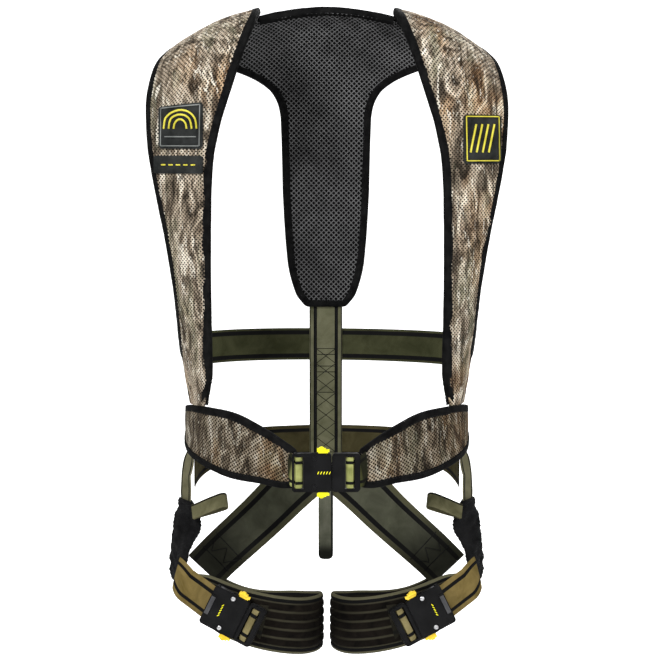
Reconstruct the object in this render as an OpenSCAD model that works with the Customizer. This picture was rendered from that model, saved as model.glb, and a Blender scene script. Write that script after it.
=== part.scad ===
// Safety harness vest: two padded shoulder panels joined by a back yoke, a padded waist belt with a
// quick-release buckle, and two leg loops, each with its own quick-release buckle.
// Millimetres. +Z up, the wearer faces -Y, +X is the wearer's left. The origin is the middle of the waist.

/* [Wearer] */
// Half width of the body at the waist, under the belt
waist_a = 168; // [150:1:200]
// Half depth of the body at the waist, under the belt
waist_b = 130; // [110:1:150]
// Half width of the body at the shoulders
chest_a = 248; // [235:1:290]
// Half depth of the body at the shoulders
chest_b = 105; // [92:1:120]
// Height of the shoulder line above the waist
shoulder_z = 400; // [360:1:440]
// Rise of the shoulder cap above the shoulder line
cap_rise = 142; // [125:1:155]

/* [Webbing] */
// Width of the main webbing
web_w = 44; // [40:1:50]
// Width of the waist webbing
waist_web_w = 38; // [34:1:44]
// Thickness of the webbing
web_t = 1.7; // [1.2:0.1:2.2]
// Width of the pair of straps under the seat
hip_w = 68; // [55:1:72]
// Width of the small loops and of the tail strap
loop_w = 20; // [16:1:25]

/* [Leg loops] */
// Sideways distance from the middle to the centre of a leg loop
leg_x = 103; // [95:1:110]
// Half width of a leg loop
leg_a = 94.5; // [86:0.5:98]
// Half depth of a leg loop
leg_b = 80; // [70:1:90]
// Height of a leg pad
leg_pad_w = 72; // [60:1:80]
// Slope of a leg buckle
leg_buckle_slope = 26; // [15:1:30]
// Turn of a leg buckle towards the outside of the leg
leg_buckle_yaw = 10; // [0:1:20]

/* [Buckles] */
// Thickness of a buckle's plates
plate_t = 2; // [1.5:0.1:2.5]
// Space between a buckle's plates
plate_gap = 4; // [3.8:0.1:4.5]
// Diameter of a webbing bar
bar_d = 5; // [4:0.1:5.2]

/* [Tether] */
// Radius of the opening of the tether loop
tether_r = 14; // [12:0.5:16]

/* [Hidden] */
$fn = 48;

cap_speed = cap_rise * PI;          // millimetres of height per unit of q on the walls
binding_w = 8;                      // how far a binding reaches over the edge of its panel
binding_t = 1.1;

// Levels above the body surface: [inner face, outer face]
lining_lv = [1.2, 2.8];
webbing_lv = [3.2, 4.9];
cover_lv = [5.3, 6.6];
dorsal_lv = [3.3, 5.0];
back_cover_lv = [5.4, 6.9];
seat_lv = [5.5, 7.2];
belt_lining_lv = [6.6, 8.1];
belt_webbing_lv = [8.6, 10.3];
belt_cover_lv = [10.8, 12.2];

// ---- Curves and the body surface ----

function unit(v) = v / norm(v);
function clamp01(t) = min(1, max(0, t));
function ease(t) = (1 - cos(180 * clamp01(t))) / 2;
function mix(a, b, t) = a + (b - a) * t;
function knot_index(k, q, i = 0) = i >= len(k) - 2 || q < k[i + 1][0] ? i : knot_index(k, q, i + 1);
function knot_slope(k, i) = (k[min(i + 1, len(k) - 1)][1] - k[max(i - 1, 0)][1])
    / (k[min(i + 1, len(k) - 1)][0] - k[max(i - 1, 0)][0]);

// A smooth curve through the points [position, value] of k
function through(k, q) =
    let (i = knot_index(k, q), a = k[i], b = k[i + 1], h = b[0] - a[0], t = clamp01((q - a[0]) / h))
    (2 * t ^ 3 - 3 * t ^ 2 + 1) * a[1] + (t ^ 3 - 2 * t ^ 2 + t) * h * knot_slope(k, i)
    + (3 * t ^ 2 - 2 * t ^ 3) * b[1] + (t ^ 3 - t ^ 2) * h * knot_slope(k, i + 1);

function body_a(z) = waist_a + (chest_a - waist_a) * ease(z / shoulder_z);
function body_b(z) = waist_b + (chest_b - waist_b) * clamp01(z / shoulder_z);
function fall(x, a, p) = max(0.01, 1 - abs(x / a) ^ p) ^ (1 / p);
function wall_power(z) = 2 - 0.25 * ease((z - 150) / 250);
function wall(x, z, side) = [x, side * body_b(z) * fall(x, body_a(z), wall_power(z)), z];
function cap(x, t) =
    let (r = (abs(cos(t)) ^ 3 + abs(sin(t)) ^ 3) ^ (-1 / 3), f = fall(x, chest_a, 1.75))
    [x, chest_b * f * r * cos(t), shoulder_z + cap_rise * f * r * sin(t)];

// A point of the body: q runs up the back below 0, over the shoulder from 0 to 1, and down the front above 1
function body(x, q) = q < 0 ? wall(x, shoulder_z + cap_speed * q, 1)
    : q > 1 ? wall(x, shoulder_z - cap_speed * (q - 1), -1) : cap(x, 180 * q);
function body_dx(x, q) = body(x + 0.5, q) - body(x - 0.5, q);
function body_dq(x, q) = body(x, q + 0.002) - body(x, q - 0.002);
function body_n(x, q) = unit(cross(body_dq(x, q), body_dx(x, q)));
function on_body(x, q, level) = body(x, q) + level * body_n(x, q);
function q_rear(z) = (z - shoulder_z) / cap_speed;
function q_front(z) = 1 + (shoulder_z - z) / cap_speed;

// A point round the waist: angle 0 at the wearer's left, 90 at the front, 270 at the back
function waist_n(t) = unit([cos(t) / waist_a, -sin(t) / waist_b, 0]);
function flare(z) = 0.2 * max(0, -z - 5);
function waist(t, z, level) = [waist_a * cos(t), -waist_b * sin(t), z] + (level + flare(z)) * waist_n(t);

// ---- Solids from sections ----

// Joins a list of equal loops of points into one solid, open with two end faces or closed into a ring
module loft(s, ring = false) {
    n = len(s);
    m = len(s[0]);
    last = ring ? n - 1 : n - 2;
    half = [for (j = [0:m / 2 - 2]) each [[j, m - 1 - j, j + 1], [j + 1, m - 1 - j, m - 2 - j]]];
    ends = ring ? [] : [for (f = half) each [[f[2], f[1], f[0]], [for (k = f) (n - 1) * m + k]]];
    sides = [for (i = [0:last], j = [0:m - 1])
        let (a = i * m, b = ((i + 1) % n) * m, k = (j + 1) % m) each [[a + j, b + j, b + k], [a + j, b + k, a + k]]];
    polyhedron([for (r = s) each r], concat(ends, sides));
}

// How much of its crown a padded panel of width w has at t across it; it stays flat under its binding
function swell(t, w) = sin(180 * t) ^ 4 * clamp01((w - 20) / 40);

// A padded sheet on the body between the curves lo(q) and hi(q); it is thin at its edges
module sheet(qs, lo, hi, level, crown = 0, nx = 8) {
    loft([for (q = qs)
        let (a = through(lo, q), b = through(hi, q))
        concat(
            [for (j = [0:nx]) on_body(mix(a, b, j / nx), q, level[0])],
            [for (j = [nx:-1:0]) on_body(mix(a, b, j / nx), q, level[1] + crown * swell(j / nx, b - a))])]);
}

// A flat strap along a path; across gives its width direction at each point, and lead is a list of sections before it
module strap(path, across, w, t = web_t, parts = 1, lead = []) {
    n = len(path);
    loft(concat(lead, [for (i = [0:n - 1])
        let (
            d = unit(path[min(i + 1, n - 1)] - path[max(i - 1, 0)]),
            c = is_list(across[0]) ? across[i] : across,
            v = unit(c - d * (c * d)),
            u = cross(d, v) * t / 2,
            e = v * (is_list(w) ? w[i] : w))
        concat([for (j = [0:parts]) path[i] + e * (j / parts - 0.5) - u],
            [for (j = [parts:-1:0]) path[i] + e * (j / parts - 0.5) + u])]));
}

// A C-shaped tape round the edge of a panel. p is a list of [point on the body, normal, outward direction]
module binding(p, low, high, ring = false, reach = binding_w) {
    g = 0.3;
    t = binding_t;
    c = [[-reach, low - g - t], [t + g, low - g - t], [t + g, high + g + t], [-reach, high + g + t],
        [-reach, high + g], [g, high + g], [g, low - g], [-reach, low - g]];
    loft([for (e = p) [for (k = c) e[0] + e[2] * k[0] + e[1] * k[1]]], ring);
}

// Edge data for a loop of [x, q] places on the body, with the inside of the panel on one side
function edge_on_body(e, side, ring) =
    let (n = len(e))
    [for (i = [0:n - 1])
        let (
            before = ring ? e[(i + n - 1) % n] : e[max(i - 1, 0)],
            after = ring ? e[(i + 1) % n] : e[min(i + 1, n - 1)],
            d = unit(body(after[0], after[1]) - body(before[0], before[1])),
            m = body_n(e[i][0], e[i][1]))
        [body(e[i][0], e[i][1]), m, side * unit(cross(d, m))]];

module right() { mirror([1, 0, 0]) children(); }

function steps(a, b, n) = [for (i = [0:n]) mix(a, b, i / n)];

// ---- Back yoke ----

// Half width of the yoke: a stem with a blunt foot, then arms that meet the shoulder panels
yoke_foot = q_rear(148);
yoke_top = 0.335;
yoke_k = [[yoke_foot, 24], [q_rear(156), 34], [q_rear(175), 42], [q_rear(205), 49], [q_rear(292), 55],
    [q_rear(362), 56.5], [0.02, 59], [0.075, 69], [0.11, 86], [0.14, 107], [0.165, 124.5], [0.185, 129],
    [0.22, 116.6], [0.28, 101.6], [yoke_top, 89]];
yoke_lo = [for (k = yoke_k) [k[0], -k[1]]];
yoke_qs = concat(steps(yoke_foot, q_rear(205), 6), steps(q_rear(230), 0.02, 8), steps(0.05, yoke_top, 14));

module back_lining() { color("#1c1c1e") sheet(yoke_qs, yoke_lo, yoke_k, lining_lv, 0, 10); }
module back_cover() {
    color("#6b6152") sheet(yoke_qs, yoke_lo, yoke_k, back_cover_lv, 1, 10);
}

module back_binding() {
    side_q = concat([q_rear(162), q_rear(175), q_rear(190)], steps(q_rear(205), 0, 6), steps(0.03, 0.15, 7), [0.165, 0.18]);
    one = [for (q = side_q) [through(yoke_k, q), q]];
    foot = [for (x = steps(-26, 26, 4)) [x, yoke_foot]];
    other = [for (i = [len(one) - 1:-1:0]) [-one[i][0], one[i][1]]];
    top = [for (x = steps(-85, 85, 12)) [x, yoke_top]];
    color("#101010") {
        binding(edge_on_body(concat(other, foot, one), -1, false), lining_lv[0], back_cover_lv[1]);
        binding(edge_on_body([for (e = top) [-e[0], e[1]]], -1, false), lining_lv[0], back_cover_lv[1]);
    }
}

module dorsal_strap() {
    color("#55563f") sheet(steps(q_rear(-66), 0.1, 26), [[-2, -web_w / 2], [1, -web_w / 2]],
        [[-2, web_w / 2], [1, web_w / 2]], dorsal_lv, 0, 2);
}

// ---- Tether loop: a sewn eye of webbing on a flat tab, on the outside of the yoke ----
tether_z = 425;
tether_t = 2.6;
tether_y = body(0, q_rear(shoulder_z - 30))[1] + 9.8;

module tether_loop() {
    color("#2b2b2b") {
        translate([0, tether_y + tether_t + tether_r, tether_z]) rotate([0, 90, 0])
            difference() {
                cylinder(h = web_w, r = tether_r + tether_t, center = true);
                cylinder(h = web_w + 2, r = tether_r, center = true);
            }
        translate([-web_w / 2, tether_y, tether_z - 75]) cube([web_w, tether_t, 75]);
    }
}

// ---- Straps round the back ----

module back_strap() {
    z = 97;
    a = body_a(z);
    b = body_b(z);
    ts = steps(165, 375, 36);
    path = [for (t = ts)
        let (m = unit([cos(t) / a, -sin(t) / b, 0]), up = ease((-sin(t) + 0.2) * 1.4))
        [a * cos(t), -b * sin(t), z] + m * mix(-1.6, 7.8, up)];
    color("#55563f") strap(path, [for (t = ts) [0.21 * cos(t), 0, 1]], web_w - 1);
}

module seat_strap() {
    path = [for (t = steps(176, 364, 32))
        let (up = ease(-sin(t) * 1.5), z = mix(-51, -38, up))
        waist(t, z, mix(2.2, (seat_lv[0] + seat_lv[1]) / 2, up) - flare(z))];
    color("#55563f") strap(path, [0, 0, 1], web_w + 2);
}

// ---- Shoulder panels ----

shoulder_start = 0.185;
shoulder_end = q_front(42);
foot_in = 149.5;
foot_out = 168.5;
inner_k = [[0.16, 138], [0.185, 131.5], [0.22, 119], [0.28, 104], [0.34, 90], [0.5, 84], [0.68, 86.5], [0.86, 111.5],
    [1, 129.5], [1.12, 140.5], [1.32, 143.5], [1.55, 143.5], [q_front(80), 143], [q_front(60), 146.5], [shoulder_end, foot_in]];
outer_k = [[0.16, 168], [0.185, 178], [0.22, 183], [0.34, 187], [0.5, 193], [0.7, 210.5], [0.86, 219.5], [1.06, 219.5],
    [1.18, 211.5], [1.35, 196], [1.5, 185.5], [1.65, 180], [q_front(80), 176], [q_front(60), 173], [shoulder_end, foot_out]];
panel_qs = concat(steps(shoulder_start, 1.0, 19), steps(1.04, q_front(80), 16), steps(q_front(72), shoulder_end, 4));

module shoulder_cover() { sheet(panel_qs, inner_k, outer_k, cover_lv, 2.6); }
module shoulder_lining() { sheet(panel_qs, inner_k, outer_k, lining_lv); }
module shoulder_webbing() {
    mid = [for (k = [0:len(inner_k) - 1]) [inner_k[k][0], (inner_k[k][1] + outer_k[k][1]) / 2]];
    half = [for (k = mid) [k[0], k[0] < 1.3 ? 20 : k[0] < 1.6 ? 14 : 7]];
    qs = [for (q = panel_qs) if (q > 0.2 && q < q_front(46)) q];
    sheet(qs, [for (i = [0:len(mid) - 1]) [mid[i][0], mid[i][1] - half[i][1]]],
        [for (i = [0:len(mid) - 1]) [mid[i][0], mid[i][1] + half[i][1]]], webbing_lv, 0, 4);
    // its end goes on down behind the belt
    loft([for (k = [[50, 4.9], [46, 4.5], [40.5, 3.1], [18, 3]])
        concat([for (t = [16:2:22]) waist(t, k[0], k[1] + web_t)], [for (t = [22:-2:16]) waist(t, k[0], k[1])])]);
}
module shoulder_binding() {
    down = [for (q = concat(steps(shoulder_start, 1.0, 14), steps(1.04, q_front(56), 13))) [through(inner_k, q), q]];
    up = [for (i = [len(down) - 1:-1:0]) [through(outer_k, down[i][1]), down[i][1]]];
    foot = [for (u = [0.2, 0.5, 0.8]) [mix(foot_in, foot_out, u), shoulder_end]];
    head = [for (u = [0.8, 0.5, 0.2]) [mix(131.5, 178, u), shoulder_start]];
    e = concat(down, foot, up, head);
    back_round = [for (i = [len(e) - 1:-1:0]) e[i]];
    binding(edge_on_body(back_round, -1, true), lining_lv[0], cover_lv[1], true, 7);
}

// A small sewn patch standing on the crown of a shoulder cover
module shoulder_patch(q0, q1, lo, hi, level = [10, 11.2]) {
    sheet(steps(q0, q1, 6), [[0, lo], [3, lo]], [[0, hi], [3, hi]], level, 0, 6);
}

module chest_labels_right() {
    shoulder_patch(0.942, 1.085, 149, 203);
    shoulder_patch(1.104, 1.153, 149, 209);
}

// ---- Waist belt wings ----

// Middle height and half height of a wing against the angle round the waist
wing_mid_k = [[-4, 15], [4, 10.5], [18, 7.5], [34, 4], [50, -2], [64, -11.5], [72, -20.5], [77, -25]];
wing_half_k = [[-4, 15], [4, 22.5], [18, 30.5], [34, 36], [50, 39], [64, 32.5], [72, 27.5], [77, 22]];
wing_ts = steps(-4, 77, 26);

module wing(level, crown, ny = 8) {
    loft([for (t = wing_ts)
        let (m = through(wing_mid_k, t), h = through(wing_half_k, t))
        concat(
            [for (j = [0:ny]) waist(t, m + h * mix(-1, 1, j / ny), level[0])],
            [for (j = [ny:-1:0]) waist(t, m + h * mix(-1, 1, j / ny), level[1] + crown * swell(j / ny, 2 * h))])]);
}
module wing_binding() {
    top = [for (t = steps(-4, 77, 18)) [t, through(wing_mid_k, t) + through(wing_half_k, t)]];
    bottom = [for (t = steps(77, -4, 18)) [t, through(wing_mid_k, t) - through(wing_half_k, t)]];
    front = [for (u = [0.8, 0.5, 0.2]) [77, -25 + 22 * mix(-1, 1, u)]];
    back = [for (u = [0.2, 0.5, 0.8]) [-4, 15 + 15 * mix(-1, 1, u)]];
    loop = concat(top, front, bottom, back);
    n = len(loop);
    e = [for (i = [n - 1:-1:0]) loop[i]];
    p = [for (i = [0:n - 1])
        let (
            a = e[(i + n - 1) % n],
            b = e[(i + 1) % n],
            d = unit(waist(b[0], b[1], 0) - waist(a[0], a[1], 0)),
            m = waist_n(e[i][0]))
        [waist(e[i][0], e[i][1], 0), m, unit(cross(m, d))]];
    binding(p, belt_lining_lv[0], belt_cover_lv[1], true);
}

// ---- Quick-release buckle, in its own frame ----
// +X from the adjuster bar to the tongue, +Y across the webbing, +Z away from the wearer, back face at z = 0

buckle_t = 2 * plate_t + plate_gap;
bar_x = 31;                         // distance from the middle of a buckle to its webbing bar
leg_tongue_x = 19.5;                // the same for the tongue of a leg buckle, which is shorter
arm_t = 4;                          // thickness of the arms that hold a bar
bar_play = 2.5;                     // how far the adjuster bar slides in its slots
tongue_play = 0.4;                  // clearance between the tongue and the plates
head_half = 9.5;                    // half width of the tongue's head

module rounded(x0, x1, h, r) {
    translate([x0, -h / 2 + r]) square([x1 - x0, h - 2 * r]);
    translate([x0 + r, -h / 2]) square([x1 - x0 - 2 * r, h]);
    for (x = [x0 + r, x1 - r], y = [-h / 2 + r, h / 2 - r]) translate([x, y]) circle(r);
}

// Plates joined by two arms and a spacer block; the strap comes in behind the front plate. A housing with a window
// shows the strap on its bar, and one without has a raised grip there.
module housing(w, window) {
    h = w + 2 * arm_t + 1.6;
    bar_slot = bar_d + bar_play + 0.6;
    difference() {
        union() {
            linear_extrude(plate_t) rounded(-39, 9, h, 4);
            translate([0, 0, plate_t + plate_gap]) linear_extrude(plate_t * 0.6) rounded(-39, 9, h, 4);
            translate([0, 0, plate_t * 1.6 + plate_gap]) linear_extrude(plate_t * 0.4) rounded(-38.2, 8.2, h - 1.6, 3.5);
            translate([-20, -h / 2, 0]) cube([5, h, buckle_t - 0.8]);
            for (s = [-1, 1]) translate([-36.5, s * (h / 2 - arm_t / 2) - arm_t / 2, 0]) cube([20, arm_t, buckle_t - 0.8]);
        }
        // webbing opening
        translate([-40, -w / 2 - 0.8, -1]) cube([14.8, w + 1.6, plate_t + plate_gap + 1.8]);
        if (window) translate([-36.2, -w / 2 - 0.8, 0]) cube([11, w + 1.6, buckle_t + 2]);
        // the bar's slots in the arms
        for (s = [-1, 1]) translate([-bar_x - bar_play / 2 + 0.7, s * (h / 2 - arm_t / 2), buckle_t / 2]) rotate([90, 0, 0])
            linear_extrude(arm_t + 2, center = true) slot(bar_slot, bar_d + 0.3);
        // rivet holes
        for (s = [-1, 1]) translate([-12, s * (h / 2 - 6), -1]) cylinder(h = buckle_t + 2, d = 3.06);
    }
}
module slot(l, d) {
    square([l - d, d], center = true);
    for (s = [-1, 1]) translate([s * (l - d) / 2, 0]) circle(d = d);
}
module rivets(w) {
    h = w + 2 * arm_t + 1.6;
    for (s = [-1, 1]) translate([-12, s * (h / 2 - 6), 0]) {
        cylinder(h = buckle_t + 0.2, d = 3);
        translate([0, 0, buckle_t + 0.1]) cylinder(h = 0.9, d1 = 5, d2 = 3.4);
        translate([0, 0, -0.9]) cylinder(h = 0.8, d = 5);
    }
}
module riveted_housing(w, window) {
    housing(w, window);
    rivets(w);
    if (!window) translate([-37.5, -14, buckle_t - 0.2]) cube([5, 28, 1.4]);
}
module bar(w) {
    h = w + 2 * arm_t + 1.6;
    translate([0.7 - bar_x, 0, buckle_t / 2]) rotate([90, 0, 0]) cylinder(h = h - 0.6, d = bar_d, center = true);
}
// A release tab: a catch plate between the plates and a finger piece past the edge
module tab(w) {
    h = w + 2 * arm_t + 1.6;
    z0 = plate_t + 0.3;
    t = plate_gap - 0.6;
    translate([-7, head_half + 3.8, z0]) cube([12, h / 2 - head_half - 3.8 + 1.5, t]);
    translate([-8.5, h / 2 + 1.5, z0]) linear_extrude(t) tab_finger();
    translate([-8.5, h / 2 + 3.6, z0 - 1.6]) cube([11, 2.2, t + 3.2]);
}
module tab_finger() {
    square([15, 3]);
    translate([5.5, 2.4]) circle(4);
}
// The tongue: an arrow head between the plates, and a body with a webbing bar in a slot, at distance at
module tongue(w, at) {
    h = w + 2 * arm_t + 1.6;
    z0 = plate_t + tongue_play;
    t = plate_gap - 2 * tongue_play;
    translate([0, 0, z0]) linear_extrude(t) polygon([[-8, -5], [-4, -head_half], [10, -head_half], [10, head_half],
        [-4, head_half], [-8, 5]]);
    difference() {
        union() {
            translate([0, 0, 0.8]) linear_extrude(buckle_t - 1.6) rounded(9.6, at + 13, h, 5);
            translate([0, 0, 0]) linear_extrude(buckle_t) rounded(10.4, at + 12.2, h - 1.6, 4.4);
        }
        translate([at - 5.5, -w / 2 - 0.8, -1]) cube([11.5, w + 1.6, buckle_t + 2]);
        translate([at - 5.5, -w / 2 - 0.8, -1]) cube([20, w + 1.6, buckle_t / 2 + 1.4]);
    }
    translate([at, 0, buckle_t / 2]) rotate([90, 0, 0]) cylinder(h = w + 4, d = bar_d, center = true);
}

// The waist buckle stands in front of the wings' ends
waist_buckle_y = -(waist_b + 21.5);
waist_buckle_x = -5;
waist_buckle_z = -27;
module at_waist() {
    multmatrix([[1, 0, 0, waist_buckle_x], [0, 0, -1, waist_buckle_y], [0, 1, 0, waist_buckle_z], [0, 0, 0, 1]]) children();
}

// Leg buckle of the left leg: along the strap, across it and outwards
leg_out = [sin(leg_buckle_yaw), -cos(leg_buckle_yaw), 0];
leg_along = [-cos(leg_buckle_yaw) * cos(leg_buckle_slope), -sin(leg_buckle_yaw) * cos(leg_buckle_slope),
    -sin(leg_buckle_slope)];
leg_across = cross(leg_out, leg_along);
leg_buckle_at = [114.5, -102, -219];
module at_leg() {
    u = leg_along;
    v = leg_across;
    n = leg_out;
    p = leg_buckle_at;
    multmatrix([[u[0], v[0], n[0], p[0]], [u[1], v[1], n[1], p[1]], [u[2], v[2], n[2], p[2]], [0, 0, 0, 1]]) children();
}

// Path of webbing that comes in behind a bar, folds round it and lies back over itself
loop_r = bar_d / 2 + 0.6 + web_t / 2;
function fold(bar_at, away, out, tail, run) = concat(
    [bar_at - out * loop_r + away * run, bar_at - out * loop_r],
    [for (t = steps(-70, 70, 7)) bar_at + loop_r * (out * sin(t) - away * cos(t))],
    [bar_at + out * loop_r, bar_at + out * loop_r + away * tail]);

waist_fold = fold([bar_x + waist_buckle_x, waist_buckle_y - buckle_t / 2, waist_buckle_z], [1, 0, 0], [0, -1, 0], 4.2, 14);
waist_fold_right = fold([bar_x - 0.7 - waist_buckle_x, waist_buckle_y - buckle_t / 2, waist_buckle_z], [1, 0, 0], [0, -1, 0], 4, 7);
function belt_sections(t1) = [for (t = steps(6, t1, 18))
    let (m = through(wing_mid_k, t), h = waist_web_w / 2)
    concat([for (j = [-3:3]) waist(t, m + h * j / 3, belt_webbing_lv[1])],
        [for (j = [3:-1:-3]) waist(t, m + h * j / 3, belt_webbing_lv[0])])];
module belt_webbing_left() { loft(belt_sections(76)); }
module belt_webbing_right() {
    right() strap(waist_fold_right, [0, 0, 1], waist_web_w, web_t, 6, belt_sections(73));
}
module waist_tongue_webbing() { strap(waist_fold, [0, 0, 1], waist_web_w); }

// ---- Leg loops (left leg) ----

// Height of the loop's middle line round the leg: 0 outside, 90 front, 180 inside, 270 rear
leg_z_k = [[-45, -190], [0, -160], [30, -173], [45, -191], [90, -222], [135, -240], [180, -246], [225, -254], [270, -250],
    [315, -205]];
function leg_n(t) = unit([cos(t) / leg_a, -sin(t) / leg_b, 0]);
function leg(t, level, dz = 0) = [leg_x + leg_a * cos(t), -12 - leg_b * sin(t), through(leg_z_k, t) + dz]
    + level * leg_n(t);

module leg_pad() {
    half_k = [[50, 24], [62, 33], [80, 36], [180, 36], [230, 31], [300, 22]];
    ny = 6;
    loft([for (t = steps(50, 300, 38))
        let (h = through(half_k, t) * leg_pad_w / 72)
        concat(
            [for (j = [0:ny]) leg(t, 0, h * mix(-1, 1, j / ny))],
            [for (j = [ny:-1:0]) leg(t, 2.2 + 1.8 * sqrt(sin(180 * j / ny)), h * mix(-1, 1, j / ny))])]);
}
module leg_strap() {
    bar_at = leg_buckle_at - leg_along * (bar_x - 0.7) + leg_out * buckle_t / 2;
    round_leg = [for (t = steps(30, 41, 4)) leg(t, 6.6)];
    turn = [for (t = steps(-70, 0, 4)) bar_at + loop_r * (leg_out * sin(t) + leg_along * cos(t))];
    path = concat(round_leg, [bar_at - leg_out * loop_r - leg_along * 9, bar_at - leg_out * loop_r], turn);
    n = len(round_leg);
    strap(path, [for (i = [0:len(path) - 1]) mix([0, 0, -1], leg_across, clamp01(i / n))], web_w);
}

module leg_tongue_webbing() {
    strap(fold(leg_buckle_at + leg_along * leg_tongue_x + leg_out * buckle_t / 2, leg_along, leg_out, 4.2, 13), leg_across, web_w);
}

// ---- Side strap, sleeve and gear loop (left) ----

split_z = -54;                      // the leg loops swing on their straps below this height
side_lv = [2.1, 3.8];
module side_strap_upper() {
    ts = steps(-4.5, 11.5, 6);
    loft([for (z = steps(12, split_z + 2, 5))
        concat([for (t = ts) waist(t, z, side_lv[1])], [for (i = [len(ts) - 1:-1:0]) waist(ts[i], z, side_lv[0])])]);
}
// Sections of the sleeve: [height, middle x, middle y, half width, half thickness, turn about the strap]
sleeve_k = [[-197, 193.5, -10, 15, 4, 14], [-189, 194, -11.5, 24, 5.2, 16], [-178, 192.5, -13, 28, 5.8, 18],
    [-154, 189.5, -15, 28, 6, 22], [-139, 185.5, -16, 27.5, 5.8, 30], [-123, 180, -17, 27, 5.6, 42],
    [-108, 179.5, -17, 25, 5.3, 38], [-97, 179.5, -16, 21, 4.9, 30], [-88, 181, -14, 17.5, 4.4, 24]];
module sleeve_shape(grow) {
    loft([for (k = sleeve_k) [for (t = [0:15:345])
        let (
            a = (k[4] + grow) * sign(cos(t)) * abs(cos(t)) ^ 0.7,
            b = (k[3] + grow) * sign(sin(t)) * abs(sin(t)) ^ 0.7)
        [k[1] + a * cos(k[5]) + b * sin(k[5]), k[2] - a * sin(k[5]) + b * cos(k[5]),
            k[0] + (k[0] < -195 ? -2 * grow : k[0] > -90 ? -4 * grow : 0)]]]);
}
module sleeve() {
    difference() {
        sleeve_shape(0);
        sleeve_shape(-1.6);
    }
}
side_lower = [[180.8, -8, split_z - 2, 0], [181, -9, -66, 14], [181.2, -11.5, -78, 24], [181, -14, -90, 24],
    [179.5, -17, -108, 38], [180, -17, -123, 42], [185.5, -16, -139, 30], [189.5, -15, -154, 22], [192.5, -13, -176, 18]];
module side_strap_lower() {
    strap([for (k = side_lower) [k[0], k[1], k[2]]], [for (k = side_lower) [sin(k[3]), cos(k[3]), 0]], 28, 1.6);
}
hip_k = [[5, 139, -63], [48, 133, -101], [88, 112, -137], [140, 66, -177], [164, 32, -196]];
function hip_point(u) = [for (c = [0:2]) through([for (i = [0:4]) [i, hip_k[i][c]]], u)];
hip_split = 2.1;
module hip_strap(u0, u1) {
    us = steps(u0, u1, 10);
    path = [for (u = us) hip_point(u)];
    strap(path, [for (u = us) [mix(0.55, 0.75, u / 4), mix(0, 0.25, u / 4), 0.75]], [for (u = us) mix(hip_w, hip_w - 10, ease(u / 4))]);
}
gear_at = [166, -43, -97];
gear_dir = unit([-0.86, -0.35, 0.37]);
gear_len = 40;
module gear_loop() {
    side = unit(cross(gear_dir, [0, 0.5, 0.87]));
    out = [for (s = steps(2, gear_len, 5)) gear_at + gear_dir * s - side * (1.2 + 4.2 * sin(90 * s / gear_len))];
    back = [for (s = steps(gear_len, 2, 5)) gear_at + gear_dir * s + side * (1.2 + 4.2 * sin(90 * s / gear_len))];
    tip = [for (t = steps(-70, 70, 6)) gear_at + gear_dir * (gear_len + 5.4 * cos(t)) + side * 5.4 * sin(t)];
    strap(concat(out, tip, back), cross(side, gear_dir), loop_w);
}

module tail_strap() {
    color("#55563f") difference() {
        translate([-loop_w / 2, 131.4, -200]) cube([loop_w, 2.2, 200 - 67]);
        for (s = [-1, 1]) translate([s * loop_w / 2, 132.5, -200]) rotate([0, 45, 0]) cube([8, 12, 8], center = true);
    }
}

// ---- Nodes ----

camo = "#7a6f5e";
black = "#141414";
olive = "#55563f";
yellow = "#f2dc1a";
back_lining();
back_cover();
back_binding();
dorsal_strap();
tether_loop();
back_strap();
seat_strap();
color(camo) shoulder_cover();  // shoulder_cover_left
color(camo) right() shoulder_cover();  // shoulder_cover_right
color(black) shoulder_lining();  // shoulder_lining_left
color(black) right() shoulder_lining();  // shoulder_lining_right
color(olive) shoulder_webbing();  // shoulder_webbing_left
color(olive) right() shoulder_webbing();  // shoulder_webbing_right
color(black) shoulder_binding();  // shoulder_binding_left
color(black) right() shoulder_binding();  // shoulder_binding_right
color(black) shoulder_patch(0.985, 1.126, 163, 210);  // chest_label_left
color(black) right() chest_labels_right();
color(camo) wing(belt_cover_lv, 2);  // belt_cover_left
color(camo) right() wing(belt_cover_lv, 2);  // belt_cover_right
color(black) wing(belt_lining_lv, 0);  // belt_lining_left
color(black) right() wing(belt_lining_lv, 0);  // belt_lining_right
color(olive) belt_webbing_left();
color(olive) belt_webbing_right();
color(black) wing_binding();  // belt_binding_left
color(black) right() wing_binding();  // belt_binding_right
color(black) at_waist() riveted_housing(waist_web_w, true);  // waist_housing
color(black) at_waist() bar(waist_web_w);  // waist_bar
color(yellow) at_waist() tab(waist_web_w);  // waist_tab_upper
color(yellow) at_waist() mirror([0, 1, 0]) tab(waist_web_w);  // waist_tab_lower
color(black) at_waist() tongue(waist_web_w, bar_x);  // waist_tongue
color(olive) waist_tongue_webbing();
tail_strap();
color(olive) hip_strap(0, hip_split);  // hip_strap_upper_left
color(olive) right() hip_strap(0, hip_split);  // hip_strap_upper_right
color(olive) side_strap_upper();  // side_strap_upper_left
color(olive) right() side_strap_upper();  // side_strap_upper_right
color(olive) hip_strap(hip_split + 0.1, 3.7);  // hip_strap_lower_left
color(olive) right() hip_strap(hip_split + 0.1, 3.7);  // hip_strap_lower_right
color(olive) side_strap_lower();  // side_strap_lower_left
color(olive) right() side_strap_lower();  // side_strap_lower_right
color(black) sleeve();  // sleeve_left
color(black) right() sleeve();  // sleeve_right
color(black) leg_pad();  // leg_pad_left
color(black) right() leg_pad();  // leg_pad_right
color(olive) leg_strap();  // leg_strap_left
color(olive) right() leg_strap();  // leg_strap_right
color(black) at_leg() riveted_housing(web_w, false);  // leg_housing_left
color(black) right() at_leg() riveted_housing(web_w, false);  // leg_housing_right
color(black) at_leg() bar(web_w);  // leg_bar_left
color(black) right() at_leg() bar(web_w);  // leg_bar_right
color(yellow) at_leg() mirror([0, 1, 0]) tab(web_w);  // leg_tab_upper_left
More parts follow.
